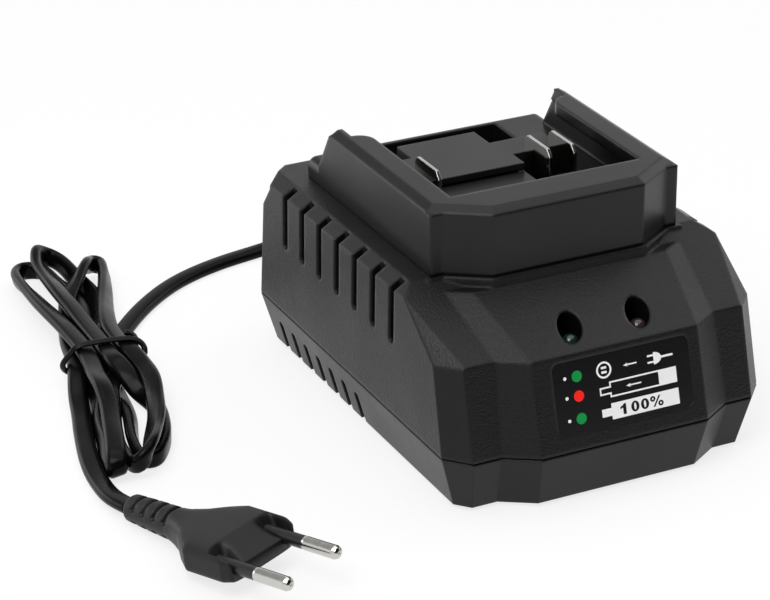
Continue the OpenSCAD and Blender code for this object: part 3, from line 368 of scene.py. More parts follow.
# wherever a turned stretch would dip into the table, it and its neighbours are lifted clear
CLEAR, REACH = 0.03, 8
dip = np.pad(np.maximum(CLEAR - rings[..., 2].min(axis=1), 0), 2 * REACH, mode="edge")
lift = np.lib.stride_tricks.sliding_window_view(dip, 2 * REACH + 1).max(axis=1)
lift = np.lib.stride_tricks.sliding_window_view(lift, 2 * REACH + 1).mean(axis=1)
rings[..., 2] += lift[:, None]
cord_place[:, 2] += lift
cord = mesh_piece("power_cord", *capped(rings), jacket)
run_map(cord, cord_run, RING_POINTS)
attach(cord, "root")
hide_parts("power_cord_lead", "cord_hank", "cord_tail")

# ---- The plug
# Flat two-pin plug, moulded onto the cord in black PVC: a crisp outline, hollow shoulders and a ribbed boot.
# The pins are turned and nickel plated, with insulating sleeves; the slope between them is left bare.
PLUG_AT, PLUG_TURN = (-110.7, -70.1, 9.5), (3, -6, -67)
PIN_SPREAD = 19
BOOT_START, BOOT_LENGTH, BOOT_TURN = 29, 22.3, radians(-3.4)
PLUG_END = BOOT_START + BOOT_LENGTH
# runs from the front face, each with the plug's half width or half thickness there
HALF_WIDTHS = ((0, 12.2), (0.5, 12.8), (3, 13.6), (16.5, 13.6), (21, 10.7), (25, 7.5), (29.5, 5.6),
               (33, 5.0), (42, 4.6), (PLUG_END - 0.8, 4.1), (PLUG_END, 3.5))
HALF_HEIGHTS = ((0, 3.6), (0.5, 4.0), (4, 4.6), (18, 4.6), (27, 4.55), (33, 4.7), (42, 4.4),
                (PLUG_END - 0.8, 3.9), (PLUG_END, 3.3))
BOXY, ROUND, ROUNDING = 6, 2, (17, 33)
SLOPE_TOP, SLOPE_RUN, SLOPE_FALL, SLOPE_SIDE = 4.6, 9.0, 4.2, (-0.4, 0.6)
TROUGH_FLOOR, TROUGH_BEND, TROUGH_SIDE, TROUGH_END = -0.4, 0.25, (2.0, 3.4), (5.6, 9.4)
GROOVES_AT, GROOVE_SIDE, GROOVE_DEPTH, SPINE = (4.2, 8.8, 13.4, 17.9), (0.55, 1.05), 0.3, (0.28, 0.5)


def eased(x, low, high):
    """A smooth step from 0 at low to 1 at high."""
    f = np.clip((x - low) / (high - low), 0, 1)
    return f * f * (3 - 2 * f)


def placed(points, at, turn):
    """Points turned about X, then Y, then Z by degrees, then moved."""
    x, y, z = (radians(v) for v in turn)
    about_x = np.array([[1, 0, 0], [0, cos(x), -sin(x)], [0, sin(x), cos(x)]])
    about_y = np.array([[cos(y), 0, sin(y)], [0, 1, 0], [-sin(y), 0, cos(y)]])
    about_z = np.array([[cos(z), -sin(z), 0], [sin(z), cos(z), 0], [0, 0, 1]])
    return points @ (about_z @ about_y @ about_x).T + np.array(at)


def plug_surface(rows, columns):
    """The plug's skin over (run from the front face, angle round). Each ring is a superellipse whose half
    width and half height follow the plug's outline and whose power falls from boxy to round towards the
    boot. The upper half dips to a slope between the pins and to a round trough over each pin; the boot has
    grooves, cut from above and below, with a spine left on each side."""
    share = np.linspace(0, 1, rows)
    # more rings lie close behind the front face and where the troughs end
    s = np.unique(np.r_[PLUG_END * share, np.linspace(0, 1.2, 8), np.linspace(5, 10, 20)])[:, None]
    a = 2 * np.pi * np.arange(columns)[None, :] / columns
    half = np.interp(s, *zip(*HALF_WIDTHS))
    tall = np.interp(s, *zip(*HALF_HEIGHTS))
    power = BOXY - (BOXY - ROUND) * eased(s, *ROUNDING)
    c, d = np.cos(a), np.sin(a)
    y = half * np.sign(c) * np.abs(c) ** (2 / power)
    z = tall * np.sign(d) * np.abs(d) ** (2 / power)
    upper = d > 0
    slope = SLOPE_TOP - (SLOPE_RUN - s) * SLOPE_FALL / SLOPE_RUN
    between = eased(PIN_SPREAD / 2 - np.abs(y), *SLOPE_SIDE) * upper
    z = np.where(between > 0, z + between * np.minimum(slope - z, 0) * (s < SLOPE_RUN), z)
    off = np.abs(np.abs(y) - PIN_SPREAD / 2)
    trough = (1 - eased(off, *TROUGH_SIDE)) * (1 - eased(s, *TROUGH_END)) * upper
    floor = TROUGH_FLOOR + TROUGH_BEND * off**2
    z = z + trough * np.minimum(floor - z, 0)
    in_boot = s - BOOT_START
    groove = sum(1 - eased(np.abs(in_boot - at), *GROOVE_SIDE) for at in GROOVES_AT)
    cut = 1 - GROOVE_DEPTH * groove * eased(np.abs(d), *SPINE) * (in_boot > 0)
    y, z = y * cut, z * cut
    turn = BOOT_TURN * (in_boot > 0)
    run = np.where(in_boot > 0, in_boot, 0)
    x = -np.minimum(s, BOOT_START) - run * np.cos(turn) - y * np.sin(turn)
    y = y * np.cos(turn) - run * np.sin(turn)
    return np.stack([x, y, z], axis=-1)


def moulded(name, tone, rough, pits, ior=1.5, shine=0.5, radius=0.6):
    """Moulded plastic or rubber: pits of a size and depth in millimetres and of a strength, tone and
    roughness mottled between two values each in clouds of 22 mm, and edges that shade as rounded to a
    radius and are rubbed a little smoother."""
    made, tree, place = start_material(name)
    size, depth, relief = pits
    grain = add(tree, "TexNoise", {"Vector": place, "Scale": 1000 / size, "Detail": 3.0, "Roughness": 0.6})
    cloud = add(tree, "TexNoise", {"Vector": place, "Scale": 45.0, "Detail": 4.0})
    rim = add(tree, "Bevel", {"Radius": radius * MM}, samples=6)
    flat = add(tree, "NewGeometry").outputs["Normal"]
    near = add(tree, "VectorMath", {0: rim, 1: flat}, operation="DOT_PRODUCT").outputs["Value"]
    edge = add(tree, "MapRange", {"Value": near, "From Min": 0.97, "From Max": 0.85})
    broad = add(tree, "MapRange", {"Value": cloud, "From Min": 0.3, "From Max": 0.7, "To Min": rough[0],
                                   "To Max": rough[1]})
    rubbed = add(tree, "Math", {0: edge, 1: -0.08}, operation="MULTIPLY")
    dull = add(tree, "Math", {0: broad, 1: rubbed}, operation="ADD")
    mottled = add(tree, "MixRGB", {"Fac": cloud, "Color1": srgb(tone[0]), "Color2": srgb(tone[1])})
    end_material(tree, mottled, dull, grain, relief, depth, {"IOR": ior, "Specular IOR Level": shine},
                 Normal=rim)
    return made


# Soft PVC, injection moulded: a matt skin that shows a fine orange peel.
plug_pvc = moulded("moulded_soft_pvc", ("0c0c0d", "111112"), rough=(0.42, 0.52), pits=(0.7, 0.05, 0.5),
                   shine=0.32)

skin = plug_surface(rows=170, columns=160)
rows, columns = skin.shape[:2]
faces = list(grid_faces(rows, columns)[:, ::-1])
# each end is closed with strips between the two halves of its ring
upper_half = np.arange(columns // 2)
opposite = (columns - upper_half) % columns
strips = np.stack([upper_half, upper_half + 1, columns - upper_half - 1, opposite], axis=-1)
for start, order in ((0, 1), ((rows - 1) * columns, -1)):
    faces += [tuple(dict.fromkeys(q))[::order] for q in (strips + start).tolist()]
plug = mesh_piece("plug_moulding", placed(skin.reshape(-1, 3), PLUG_AT, PLUG_TURN), faces, plug_pvc)
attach(plug, "root")
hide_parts("plug_body")


def metal(name, colour, rough, marks, along):
    """Bare or plated metal: marks of turning, drawing or rolling, of a spacing and depth in millimetres,
    as noise stretched to 25 mm along one axis, and a roughness that varies with them between two values."""
    made, tree, place = start_material(name)
    spacing, depth = marks
    stretch = [1000 / spacing] * 3
    stretch["XYZ".index(along)] = 40.0
    drawn = add(tree, "Mapping", {"Vector": place, "Scale": stretch})
    lines = add(tree, "TexNoise", {"Vector": drawn, "Scale": 1.0, "Detail": 3.0})
    smear = add(tree, "TexNoise", {"Vector": place, "Scale": 300.0, "Detail": 3.0})
    mixed = add(tree, "Math", {0: lines, 1: smear}, operation="MULTIPLY")
    dull = add(tree, "MapRange", {"Value": mixed, "From Min": 0.12, "From Max": 0.42, "To Min": rough[0],
                                  "To Max": rough[1]})
    end_material(tree, srgb(colour), dull, lines, 0.2, depth, {"Metallic": 1.0})
    return made


def dress(material, *names):
    """Gives CAD nodes a finish."""
    for name in names:
        mesh = nodes[name].data
        mesh.materials.clear()
        mesh.materials.append(material)


# Nickel on brass, turned: bright, with fine marks from the lathe.
nickel = metal("turned_nickel_plate", "c9c8c4", rough=(0.12, 0.26), marks=(0.4, 0.01), along="Z")
dress(nickel, "plug_pins")
# Hard nylon sleeve: smooth and glossier than the plug.
sleeve_nylon = moulded("moulded_pin_sleeve_nylon", ("141415", "1a1a1b"), rough=(0.3, 0.4),
                       pits=(0.5, 0.02, 0.3))
dress(sleeve_nylon, "pin_sleeves")

# ---- The cord's tie
# An iron wire in a flat coat of black PVC, wound once round all seven runs of the hank, its ends lapped at
# the right side. The wire shows as a low ridge along the tie's middle.
TIE_W, TIE_T, WING_HALF, WIRE_SHARE = 2.6, 1.9, 0.4, 0.45
TIE_RINGS, TIE_POINTS = 150, 20
BUNDLE_MIDDLE = np.array([-104.5, 64.5, 5.5])
TIE_LINE = [
    (-96.6, 65.6, 12.8), (-94.4, 65.2, 11.8), (-93.2, 64.9, 9.4), (-94.6, 64.9, 5.8), (-96.8, 65, 2.8),
    (-100, 65.2, 1.2), (-105, 65.8, 1), (-110, 66.6, 1), (-113.4, 67, 1.9), (-115.9, 66.8, 3.6),
    (-116.8, 66.3, 5.6), (-114.8, 65.7, 9), (-112.2, 65.2, 11.5), (-108.5, 64.6, 12.1), (-104, 64, 12.2),
    (-99.5, 63.3, 12.1), (-95.9, 62.3, 11.9), (-93.6, 61.4, 10.9), (-92.5, 60.2, 9.2), (-93, 58.6, 7.8),
]
# Black PVC, extruded over the wire: about as glossy as the cord, with a finer grain.
tie_pvc = moulded("coated_tie_pvc", ("070708", "0c0c0d"), rough=(0.24, 0.34), pits=(0.6, 0.03, 0.3),
                  shine=0.15)
tie_place, tie_heading, tie_run = natural_spline(TIE_LINE, TIE_RINGS)
tie_side = np.cross(tie_place - BUNDLE_MIDDLE, tie_heading)
# the section is a flat oval that swells by a bell curve over the wire
a = 2 * np.pi * (np.arange(TIE_POINTS) + 0.5) / TIE_POINTS
half = WING_HALF + (TIE_T / 2 - WING_HALF) * np.exp(-(np.cos(a) / WIRE_SHARE) ** 2)
oval_section = np.column_stack([TIE_W / 2 * np.cos(a), half * np.sign(np.sin(a)) * np.abs(np.sin(a)) ** 0.6])
tie = mesh_piece("wire_tie", *capped(sweep(tie_place, tie_heading, tie_side, oval_section)), tie_pvc)
run_map(tie, tie_run, TIE_POINTS)
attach(tie, "root")
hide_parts("cord_tie")

# ---- The lower housing
# Tapered tray moulded in black ABS, with seven low vents each side, posts and ribs inside.
# It stands on four feet; the seam at its top meets the upper housing.
# corners closer than MERGE become one, and faces within FLAT of each other become one
MERGE, FLAT, SHARP, BROAD_FACE = 2e-6, radians(0.6), radians(0.7), 25 * MM * MM


def softened(node, name, width, material, limit=14, segments=3):
    """A merged copy of a CAD node with its flat faces joined and its edges rounded to a radius in
    millimetres; the copy stands for the node. Where two broad faces meet too flat to be rounded, their edge
    is kept sharp, and normals are weighted by area, so that flat faces shade flat."""
    mesh = nodes[node].data.copy()
    work = bmesh.new()
    work.from_mesh(mesh)
    bmesh.ops.remove_doubles(work, verts=work.verts, dist=MERGE)
    bmesh.ops.dissolve_limit(work, angle_limit=FLAT, verts=work.verts, edges=work.edges)
    for edge in work.edges:
        edge.smooth = not (len(edge.link_faces) == 2 and edge.calc_face_angle() > SHARP
                           and min(face.calc_area() for face in edge.link_faces) > BROAD_FACE)
    work.to_mesh(mesh)
    work.free()
    mesh.name = name
    mesh.materials.clear()
    mesh.materials.append(material)
    mesh.polygons.foreach_set("use_smooth", np.ones(len(mesh.polygons), bool))
    piece = bpy.data.objects.new(name, mesh)
    scene.collection.objects.link(piece)
    bevel = piece.modifiers.new("rounded_edges", "BEVEL")
    bevel.width = width * MM
    bevel.segments = segments
    bevel.limit_method = "ANGLE"
    bevel.angle_limit = radians(limit)
    bevel.use_clamp_overlap = True
    bevel.miter_outer = "MITER_ARC"
    level = piece.modifiers.new("flat_faces", "WEIGHTED_NORMAL")
    level.mode = "FACE_AREA"
    level.weight = 100
    level.keep_sharp = True
    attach(piece, "root")
    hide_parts(node)


# ABS, moulded against a lightly spark-eroded tool: satin with a fine leather-like grain.
shell_abs = moulded("moulded_satin_abs", ("0a0a0b", "0f0f10"), rough=(0.32, 0.42), pits=(0.6, 0.1, 0.7),
                    shine=0.28, radius=0.9)
softened("lower_housing", "lower_shell", 0.6, shell_abs)

# ---- The feet and the blank rating label
# Four pressed rubber discs glued in recesses under the tray, and beside them a blank silvered film, glued
# on where a rating would be.
# Natural rubber, pressed: dull, with a fine powdery grain.
foot_rubber = moulded("pressed_foot_rubber", ("171717", "1f1f1f"), rough=(0.66, 0.8), pits=(0.5, 0.05, 0.5),
                      ior=1.52)
dress(foot_rubber, "rubber_feet")


def printed_film(name, tone, rough, streak, metallic=0.0, shine=0.5):
    """Thin film or ink: faint coating streaks, 17 mm long in X and with a spacing in millimetres, between
    two tones and two roughnesses, over a slight orange peel."""
    made, tree, place = start_material(name)
    drawn = add(tree, "Mapping", {"Vector": place, "Scale": (60.0, 1000 / streak, 1000 / streak)})
    coat = add(tree, "TexNoise", {"Vector": drawn, "Scale": 1.0, "Detail": 2.0})
    peel = add(tree, "TexNoise", {"Vector": place, "Scale": 700.0, "Detail": 2.0})
    ink = add(tree, "MixRGB", {"Fac": coat, "Color1": srgb(tone[0]), "Color2": srgb(tone[1])})
    dull = add(tree, "MapRange", {"Value": coat, "To Min": rough[0], "To Max": rough[1]})
    end_material(tree, ink, dull, peel, 0.15, 0.03, {"Metallic": metallic, "Specular IOR Level": shine})
    return made


# Silvered polyester film: a soft grey sheen with streaks from its coating.
silver_film = printed_film("silvered_polyester_film", ("9a9c9f", "a8aaad"), rough=(0.38, 0.5), streak=0.6,
                           metallic=0.6)
dress(silver_film, "rating_label")

# ---- The cord's gland and its clamp
# Ribbed bend relief moulded in soft PVC and trapped between the housings; inside, a nylon bar and two
# screws hold the cord's end.
gland_pvc = moulded("moulded_gland_pvc", ("131314", "1a1a1b"), rough=(0.5, 0.6), pits=(0.6, 0.05, 0.5))
softened("cord_gland", "ribbed_gland", 0.25, gland_pvc, limit=24, segments=2)
# The end of the jacket inside the housing: the cord's own PVC, a little dusty.
inner_pvc = moulded("extruded_pvc_inner_end", ("121213", "19191a"), rough=(0.45, 0.58),
                    pits=(0.5, 0.04, 0.4))
dress(inner_pvc, "cord_inner_end")
# Natural nylon, moulded: milky, satin and slightly translucent at its edges.
clamp_nylon = moulded("moulded_natural_nylon", ("cfcdc4", "dad8d0"), rough=(0.4, 0.5), pits=(0.6, 0.04, 0.4))
milky = clamp_nylon.node_tree.nodes["Principled BSDF"].inputs
milky["Subsurface Weight"].default_value = 0.15
milky["Subsurface Scale"].default_value = 0.002
dress(clamp_nylon, "cord_clamp")
# Screws of case-hardened steel, zinc plated: grey with a fine vertical smear from rolling.
zinc = metal("zinc_plated_steel", "a3a5a6", rough=(0.24, 0.42), marks=(0.35, 0.015), along="Z")
dress(zinc, "clamp_screws", "board_screws", "case_screws", "dock_screws", "deck_screws")

# ---- The main board
# Glass epoxy with a green solder mask on four posts; everything electrical stands on it.
# Woven glass shows through the mask as a faint check, drawn at twice its real pitch of 1.2 mm, and the
# copper under it as slightly raised blocks.
CLOTH_PITCH, TRACK_PITCH = 2.4, 5.0
WAVE = 318  # a wave texture of scale WAVE / p repeats about every p millimetres
laminate, tree, place = start_material("green_masked_glass_epoxy")
warp = add(tree, "TexWave", {"Vector": place, "Scale": WAVE / CLOTH_PITCH}, bands_direction="X")
weft = add(tree, "TexWave", {"Vector": place, "Scale": WAVE / CLOTH_PITCH}, bands_direction="Y")
cloth = add(tree, "Math", {0: warp.outputs["Fac"], 1: weft.outputs["Fac"]}, operation="MULTIPLY")
blocks = add(tree, "TexVoronoi", {"Vector": place, "Scale": 1000 / TRACK_PITCH}, feature="DISTANCE_TO_EDGE")
track = add(tree, "MapRange", {"Value": blocks, "From Min": 0.08, "From Max": 0.12})
mask = add(tree, "MixRGB", {"Fac": track, "Color1": srgb("123f27"), "Color2": srgb("1f6a3c")})
woven = add(tree, "MixRGB", {"Fac": 0.12, "Color1": mask, "Color2": cloth}, blend_type="OVERLAY")
dull = add(tree, "MapRange", {"Value": cloth, "To Min": 0.28, "To Max": 0.4})
rise = add(tree, "Math", {0: track, 1: cloth}, operation="ADD")
end_material(tree, woven, dull, rise, 0.3, 0.03, {"IOR": 1.55})
dress(laminate, "main_board")

# ---- The transformer
# A ferrite shell core round a phenolic bobbin, its winding wrapped in polyester tape.
# Ferrite, pressed and sintered: dark grey, dry and finely pitted.
ferrite = moulded("sintered_ferrite", ("2b2b2d", "3a3a3c"), rough=(0.5, 0.68), pits=(0.8, 0.08, 0.8),
                  ior=2.0)
dress(ferrite, "transformer_core")
# Phenolic, compression moulded: nearly black with a brown cast, satin.
phenolic = moulded("moulded_black_phenolic", ("1b1715", "241f1c"), rough=(0.34, 0.46), pits=(0.7, 0.04, 0.4),
                   ior=1.6)
dress(phenolic, "transformer_bobbin")
# Polyester tape, wound on: glossy amber, each lap a slanting edge, with small wrinkles between.
TAPE_LAP = 12.0
tape, tree, place = start_material("wrapped_polyester_tape")
lap = add(tree, "Mapping", {"Vector": place, "Rotation": (0.0, 0.15, 0.1)})
edges = add(tree, "TexWave", {"Vector": lap, "Scale": WAVE / TAPE_LAP, "Distortion": 0.6},
            bands_direction="Z", wave_profile="SAW").outputs["Fac"]
crease = add(tree, "TexNoise", {"Vector": place, "Scale": 300.0, "Detail": 4.0})
amber = add(tree, "MixRGB", {"Fac": edges, "Color1": srgb("c99a1e"), "Color2": srgb("e0b93a")})
dull = add(tree, "MapRange", {"Value": crease, "To Min": 0.18, "To Max": 0.36})
rise = add(tree, "Math", {0: edges, 1: crease}, operation="ADD")
end_material(tree, amber, dull, rise, 0.4, 0.1)
dress(tape, "transformer_winding")

# ---- Filter choke, filter capacitor, fuse and rectifier
# The mains side of the board: a wound choke, a film capacitor, a glass fuse in clips, a moulded bridge.
# Enamelled copper: rounded turns side by side, drawn at twice their real 0.8 mm, with painted shade between
# them and a painted highlight along each.
TURN_PITCH = 1.6
copper, tree, place = start_material("enamelled_copper_winding")
turns = add(tree, "TexWave", {"Vector": place, "Scale": WAVE / TURN_PITCH, "Distortion": 0.3},
            bands_direction="Z").outputs["Fac"]
varnish = add(tree, "TexNoise", {"Vector": place, "Scale": 500.0, "Detail": 3.0})
# the copper's colour goes from painted shade between the turns to a painted highlight on each turn's crown
painted_turn_shading = add(tree, "MixRGB", {"Fac": turns, "Color1": srgb("7a3214"), "Color2": srgb("c8702f")})
dull = add(tree, "MapRange", {"Value": varnish, "To Min": 0.2, "To Max": 0.4})
end_material(tree, painted_turn_shading, dull, turns, 0.8, 0.2, {"Metallic": 0.8})
dress(copper, "filter_choke")
# Polyester film capacitor in a dipped yellow epoxy coat: glossy and slightly uneven.
yellow_coat = moulded("dipped_yellow_epoxy", ("c4a52c", "d6ba48"), rough=(0.2, 0.34), pits=(1.6, 0.1, 0.5),
                      ior=1.55)
dress(yellow_coat, "filter_capacitor")
# Glass fuse: clear tube with plated caps, seen as pale grey glass with a bright rim.
fuse_glass, tree, place = start_material("blown_fuse_glass")
ripple = add(tree, "TexNoise", {"Vector": place, "Scale": 250.0, "Detail": 1.0})
dull = add(tree, "MapRange", {"Value": ripple, "To Min": 0.03, "To Max": 0.12})
end_material(tree, srgb("cfd8da"), dull, ripple, 0.1, 0.1, {"IOR": 1.5, "Transmission Weight": 0.6})
dress(fuse_glass, "fuse")
# Epoxy moulding compound, transfer moulded and laser dulled: black, dry satin with a fine sandy grain.
epoxy = moulded("transfer_moulded_epoxy", ("161617", "1f1f20"), rough=(0.45, 0.6), pits=(0.4, 0.04, 0.6),
                ior=1.55)
dress(epoxy, "bridge_rectifier", "power_transistor", "output_diode", "signal_isolator", "controller_chip")

# ---- The capacitors
# Electrolytic cans in shrunk blue sleeves; the bare aluminium top shows inside the sleeve's rim.
# PVC sleeve over aluminium: satin blue sides, and bright metal where a face looks up.
TOP_FROM = 0.9
can, tree, place = start_material("shrunk_sleeve_over_aluminium")
facing = add(tree, "NewGeometry").outputs["Normal"]
tilt = add(tree, "SeparateXYZ", {"Vector": facing}).outputs["Z"]
top = add(tree, "Math", {0: tilt, 1: TOP_FROM}, operation="GREATER_THAN")
cloud = add(tree, "TexNoise", {"Vector": place, "Scale": 200.0, "Detail": 3.0})
sleeve = add(tree, "MixRGB", {"Fac": cloud, "Color1": srgb("1b2c58"), "Color2": srgb("2a4078")})
outside = add(tree, "MixRGB", {"Fac": top, "Color1": sleeve, "Color2": srgb("c4c6c8")})
dull = add(tree, "MapRange", {"Value": cloud, "To Min": 0.22, "To Max": 0.38})
end_material(tree, outside, dull, cloud, 0.2, 0.1, {"Metallic": top})
dress(can, "bulk_capacitor", "output_capacitors")

# ---- The heat sinks
# Folded plates of bare aluminium, sawn from sheet, that stand on the board beside the parts they cool.
# Aluminium, rolled: pale grey and satin, with fine lines along the sheet.
sink_metal = metal("rolled_bare_aluminium", "b9bcbf", rough=(0.28, 0.45), marks=(0.4, 0.02), along="Y")
dress(sink_metal, "primary_heatsink", "secondary_heatsink")


# ---- The wires
# PVC-insulated cores: the brown and blue mains pair from the cord, and the thicker black, yellow and
# red output leads to the blades. Soldered at both ends.
def coloured_wires(name, low, high, colours):
    """Insulating PVC whose colour goes in steps along X, from one place to another in metres: each wire
    of the set lies in a step of its own. A colour is given with the share of the span where it starts."""
    made = moulded(name, (colours[0][1], colours[0][1]), rough=(0.34, 0.44), pits=(0.5, 0.03, 0.3))
    tree = made.node_tree
    place = add(tree, "TexCoord").outputs["Object"]
    along = add(tree, "SeparateXYZ", {"Vector": place}).outputs["X"]
    span = add(tree, "MapRange", {"Value": along, "From Min": low, "From Max": high})
    steps = add(tree, "ValToRGB", {"Fac": span})
    steps.color_ramp.interpolation = "CONSTANT"
    while len(steps.color_ramp.elements) < len(colours):
        steps.color_ramp.elements.new(1.0)
    for element, (start, colour) in zip(steps.color_ramp.elements, colours):
        element.position = start
        element.color = srgb(colour)
    cloud = add(tree, "TexNoise", {"Vector": place, "Scale": 300.0, "Detail": 3.0})
    dim = add(tree, "MapRange", {"Value": cloud, "From Min": 0.3, "From Max": 0.7, "To Min": 0.8})
    tone = add(tree, "VectorMath", {0: steps, 1: dim}, operation="MULTIPLY")
    tree.links.new(tone.outputs["Vector"], tree.nodes["Principled BSDF"].inputs["Base Color"])
    return made


mains_pvc = coloured_wires("mains_core_pvc", -0.002, 0.002, [(0.0, "5a3722"), (0.5, "2b4f8c")])
dress(mains_pvc, "mains_wires")
lead_pvc = coloured_wires("output_lead_pvc", -0.03, 0.03, [(0.0, "19191b"), (0.5, "c9a63a"),
                                                           (0.83, "9c3128")])
dress(lead_pvc, "output_wires")

# ---- The lamps
# Two 5 mm lamps cast in tinted clear epoxy, on nylon spacers, under the windows of the cover.
# Black nylon, moulded: dull satin.
spacer_nylon = moulded("moulded_black_nylon_spacer", ("1c1c20", "26262a"), rough=(0.45, 0.56),
                       pits=(0.6, 0.04, 0.4))
dress(spacer_nylon, "led_spacers")


def cast_lens(name, tint, depth):
    """Cast epoxy lens: clear and glossy, tinted through its depth, with a faint swirl from pouring."""
    made, tree, place = start_material(name)
    swirl = add(tree, "TexNoise", {"Vector": place, "Scale": 260.0, "Detail": 2.0})
    tone = add(tree, "MixRGB", {"Fac": swirl, "Color1": srgb(tint), "Color2": srgb(depth)})
    dull = add(tree, "MapRange", {"Value": swirl, "To Min": 0.05, "To Max": 0.12})
    end_material(tree, tone, dull, swirl, 0.1, 0.05, {"IOR": 1.54, "Transmission Weight": 0.35})
    return made


# Epoxy, cast: one lens green, the other a smoky red when it is unlit.
dress(cast_lens("cast_green_epoxy_lens", "1c3a2c", "0f2419"), "led_green")
dress(cast_lens("cast_smoky_epoxy_lens", "4a3c36", "2c2320"), "led_red")

# ---- The upper housing
# The faceted cover, screwed to the lower housing from below.
# The same ABS against a coarser tool, so the slope and the front glitter with fine pits.
grained_abs = moulded("moulded_grained_abs", ("0a0a0b", "0f0f10"), rough=(0.3, 0.4), pits=(0.6, 0.2, 1.0),
                      shine=0.29, radius=1.5)
softened("upper_housing", "upper_shell", 1.5, grained_abs, segments=4)

# ---- The battery dock
# U-shaped slide with two rail flanges, screwed on from inside.
# ABS, moulded against a polished tool: smoother and glossier than the cover.
dock_abs = moulded("moulded_smooth_abs", ("0a0a0b", "0f0f10"), rough=(0.28, 0.36), pits=(0.6, 0.05, 0.5),
                   shine=0.3, radius=1.4)
softened("battery_dock", "slide_dock", 1.4, dock_abs)

# ---- The terminal deck
# A block that rises through the dock's floor and carries the three blades.
# Glass-filled nylon, moulded: black and satin, with a fine grain.
deck_nylon = moulded("moulded_glass_filled_nylon", ("0d0d0e", "121213"), rough=(0.36, 0.46),
                     pits=(0.5, 0.05, 0.5))
softened("terminal_deck", "deck_block", 0.4, deck_nylon)

# ---- The blades
# Stamped from nickel-plated brass strip 1 mm thick; their sheared top edges shine.
# Nickel plate over stamped brass: bright, with drawn lines along the blade and dulled patches.
blade_nickel = metal("stamped_nickel_plate", "cdccc8", rough=(0.05, 0.14), marks=(0.3, 0.004), along="Y")
for blade in ("negative_blade", "signal_blade", "positive_blade"):
    softened(blade, blade.replace("_", "_contact_"), 0.12, blade_nickel, segments=2)

# ---- The state label
# Black polyester film in a shallow recess of the front face, screen printed from the front in white, green,
# red and black inks that stand a hair proud: lamp states as dots, a socket and a plug, two batteries.
LABEL_LEAN = radians(15.6)
LABEL_AT, FILM_FACE = (1.1, 15.7), -0.15
FRONT_FOOT = (0, -71.5, 17)
INK_HALF = 0.02
to_label = Matrix(((1, 0, 0, FRONT_FOOT[0]), (0, sin(LABEL_LEAN), -cos(LABEL_LEAN), FRONT_FOOT[1]),
                   (0, cos(LABEL_LEAN), sin(LABEL_LEAN), FRONT_FOOT[2]), (0, 0, 0, 1)))
to_label = to_label @ Matrix.Translation((*LABEL_AT, FILM_FACE + INK_HALF * 0.8))


def printed(name, shapes, material):
    """Closed outlines as one thin filled mesh on the label, drawn in millimetres from the label's middle;
    an outline inside another is a hole."""
    drawing = bpy.data.curves.new(name, "CURVE")
    drawing.dimensions = "2D"
    drawing.fill_mode = "BOTH"
    drawing.extrude = INK_HALF
    for shape in shapes:
        line = drawing.splines.new("POLY")
        line.points.add(len(shape) - 1)
        corners = np.column_stack([shape, np.zeros(len(shape)), np.ones(len(shape))])
        line.points.foreach_set("co", corners.ravel())
        line.use_cyclic_u = True
    holder = bpy.data.objects.new(name, drawing)
    scene.collection.objects.link(holder)
    mesh = bpy.data.meshes.new_from_object(holder.evaluated_get(bpy.context.evaluated_depsgraph_get()))
    bpy.data.objects.remove(holder)
    points = np.zeros(3 * len(mesh.vertices))
    mesh.vertices.foreach_get("co", points)
    turned = points.reshape(-1, 3) @ np.array(to_label.to_3x3()).T + np.array(to_label.translation)
    mesh.vertices.foreach_set("co", (turned * MM).ravel())
    mesh.name = name
    mesh.materials.clear()
    mesh.materials.append(material)
    piece = bpy.data.objects.new(name, mesh)
    scene.collection.objects.link(piece)
    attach(piece, "root")
    return piece


def oval(x, y, half_w, half_h, sides=36):
    """Corners of an upright ellipse."""
    a = 2 * np.pi * np.arange(sides) / sides
    return np.column_stack([x + half_w * np.cos(a), y + half_h * np.sin(a)])


def disc(x, y, diameter, sides=40):
    """Corners of a circle."""
    return oval(x, y, diameter / 2, diameter / 2, sides)


def bar(x, y, half_w, half_h):
    """Corners of an upright rectangle."""
    return [(x - half_w, y - half_h), (x + half_w, y - half_h), (x + half_w, y + half_h),
            (x - half_w, y + half_h)]


def battery(left, neck, right, low, nub_low, nub_high, high):
    """Outline of a lying battery with its nub on the left."""
    return [(left, nub_low), (neck, nub_low), (neck, low), (right, low), (right, high), (neck, high),
            (neck, nub_high), (left, nub_high)]


def arrow(tip, tail, y, line=0.4, head=1.1):
    """Outline of a thin arrow that points left."""
    h = line / 2
    return [(tip, y), (tip + 1.3 * head, y + head / 2), (tip + head, y + h), (tail, y + h),
            (tail, y - h), (tip + head, y - h), (tip + 1.3 * head, y - head / 2)]


def slanted(x0, y0, x1, y1, line):
    """Corners of a bar between two heights, of an even width along X."""
    return [(x0, y0), (x0 + line, y0), (x1 + line, y1), (x1, y1)]


# Polyester film, printed black on its face: smoother and darker than the housing round it.
label_film = printed_film("black_polyester_film", ("030304", "060607"), rough=(0.14, 0.22), streak=0.5,
                          shine=0.32)
dress(label_film, "front_label")

# Screen inks: opaque and matt, with the faint mesh texture of the screen.
white_ink = printed_film("screen_printed_white_ink", ("f0f0f0", "f7f7f7"), rough=(0.5, 0.62), streak=0.3)
green_ink = printed_film("screen_printed_green_ink", ("008a3c", "069645"), rough=(0.5, 0.6), streak=0.3,
                         shine=0.2)
red_ink = printed_film("screen_printed_red_ink", ("fa1a10", "ff261a"), rough=(0.5, 0.6), streak=0.3,
                       shine=0.2)
black_ink = printed_film("screen_printed_black_ink", ("070708", "0c0c0d"), rough=(0.5, 0.6), streak=0.3,
                         shine=0.2)

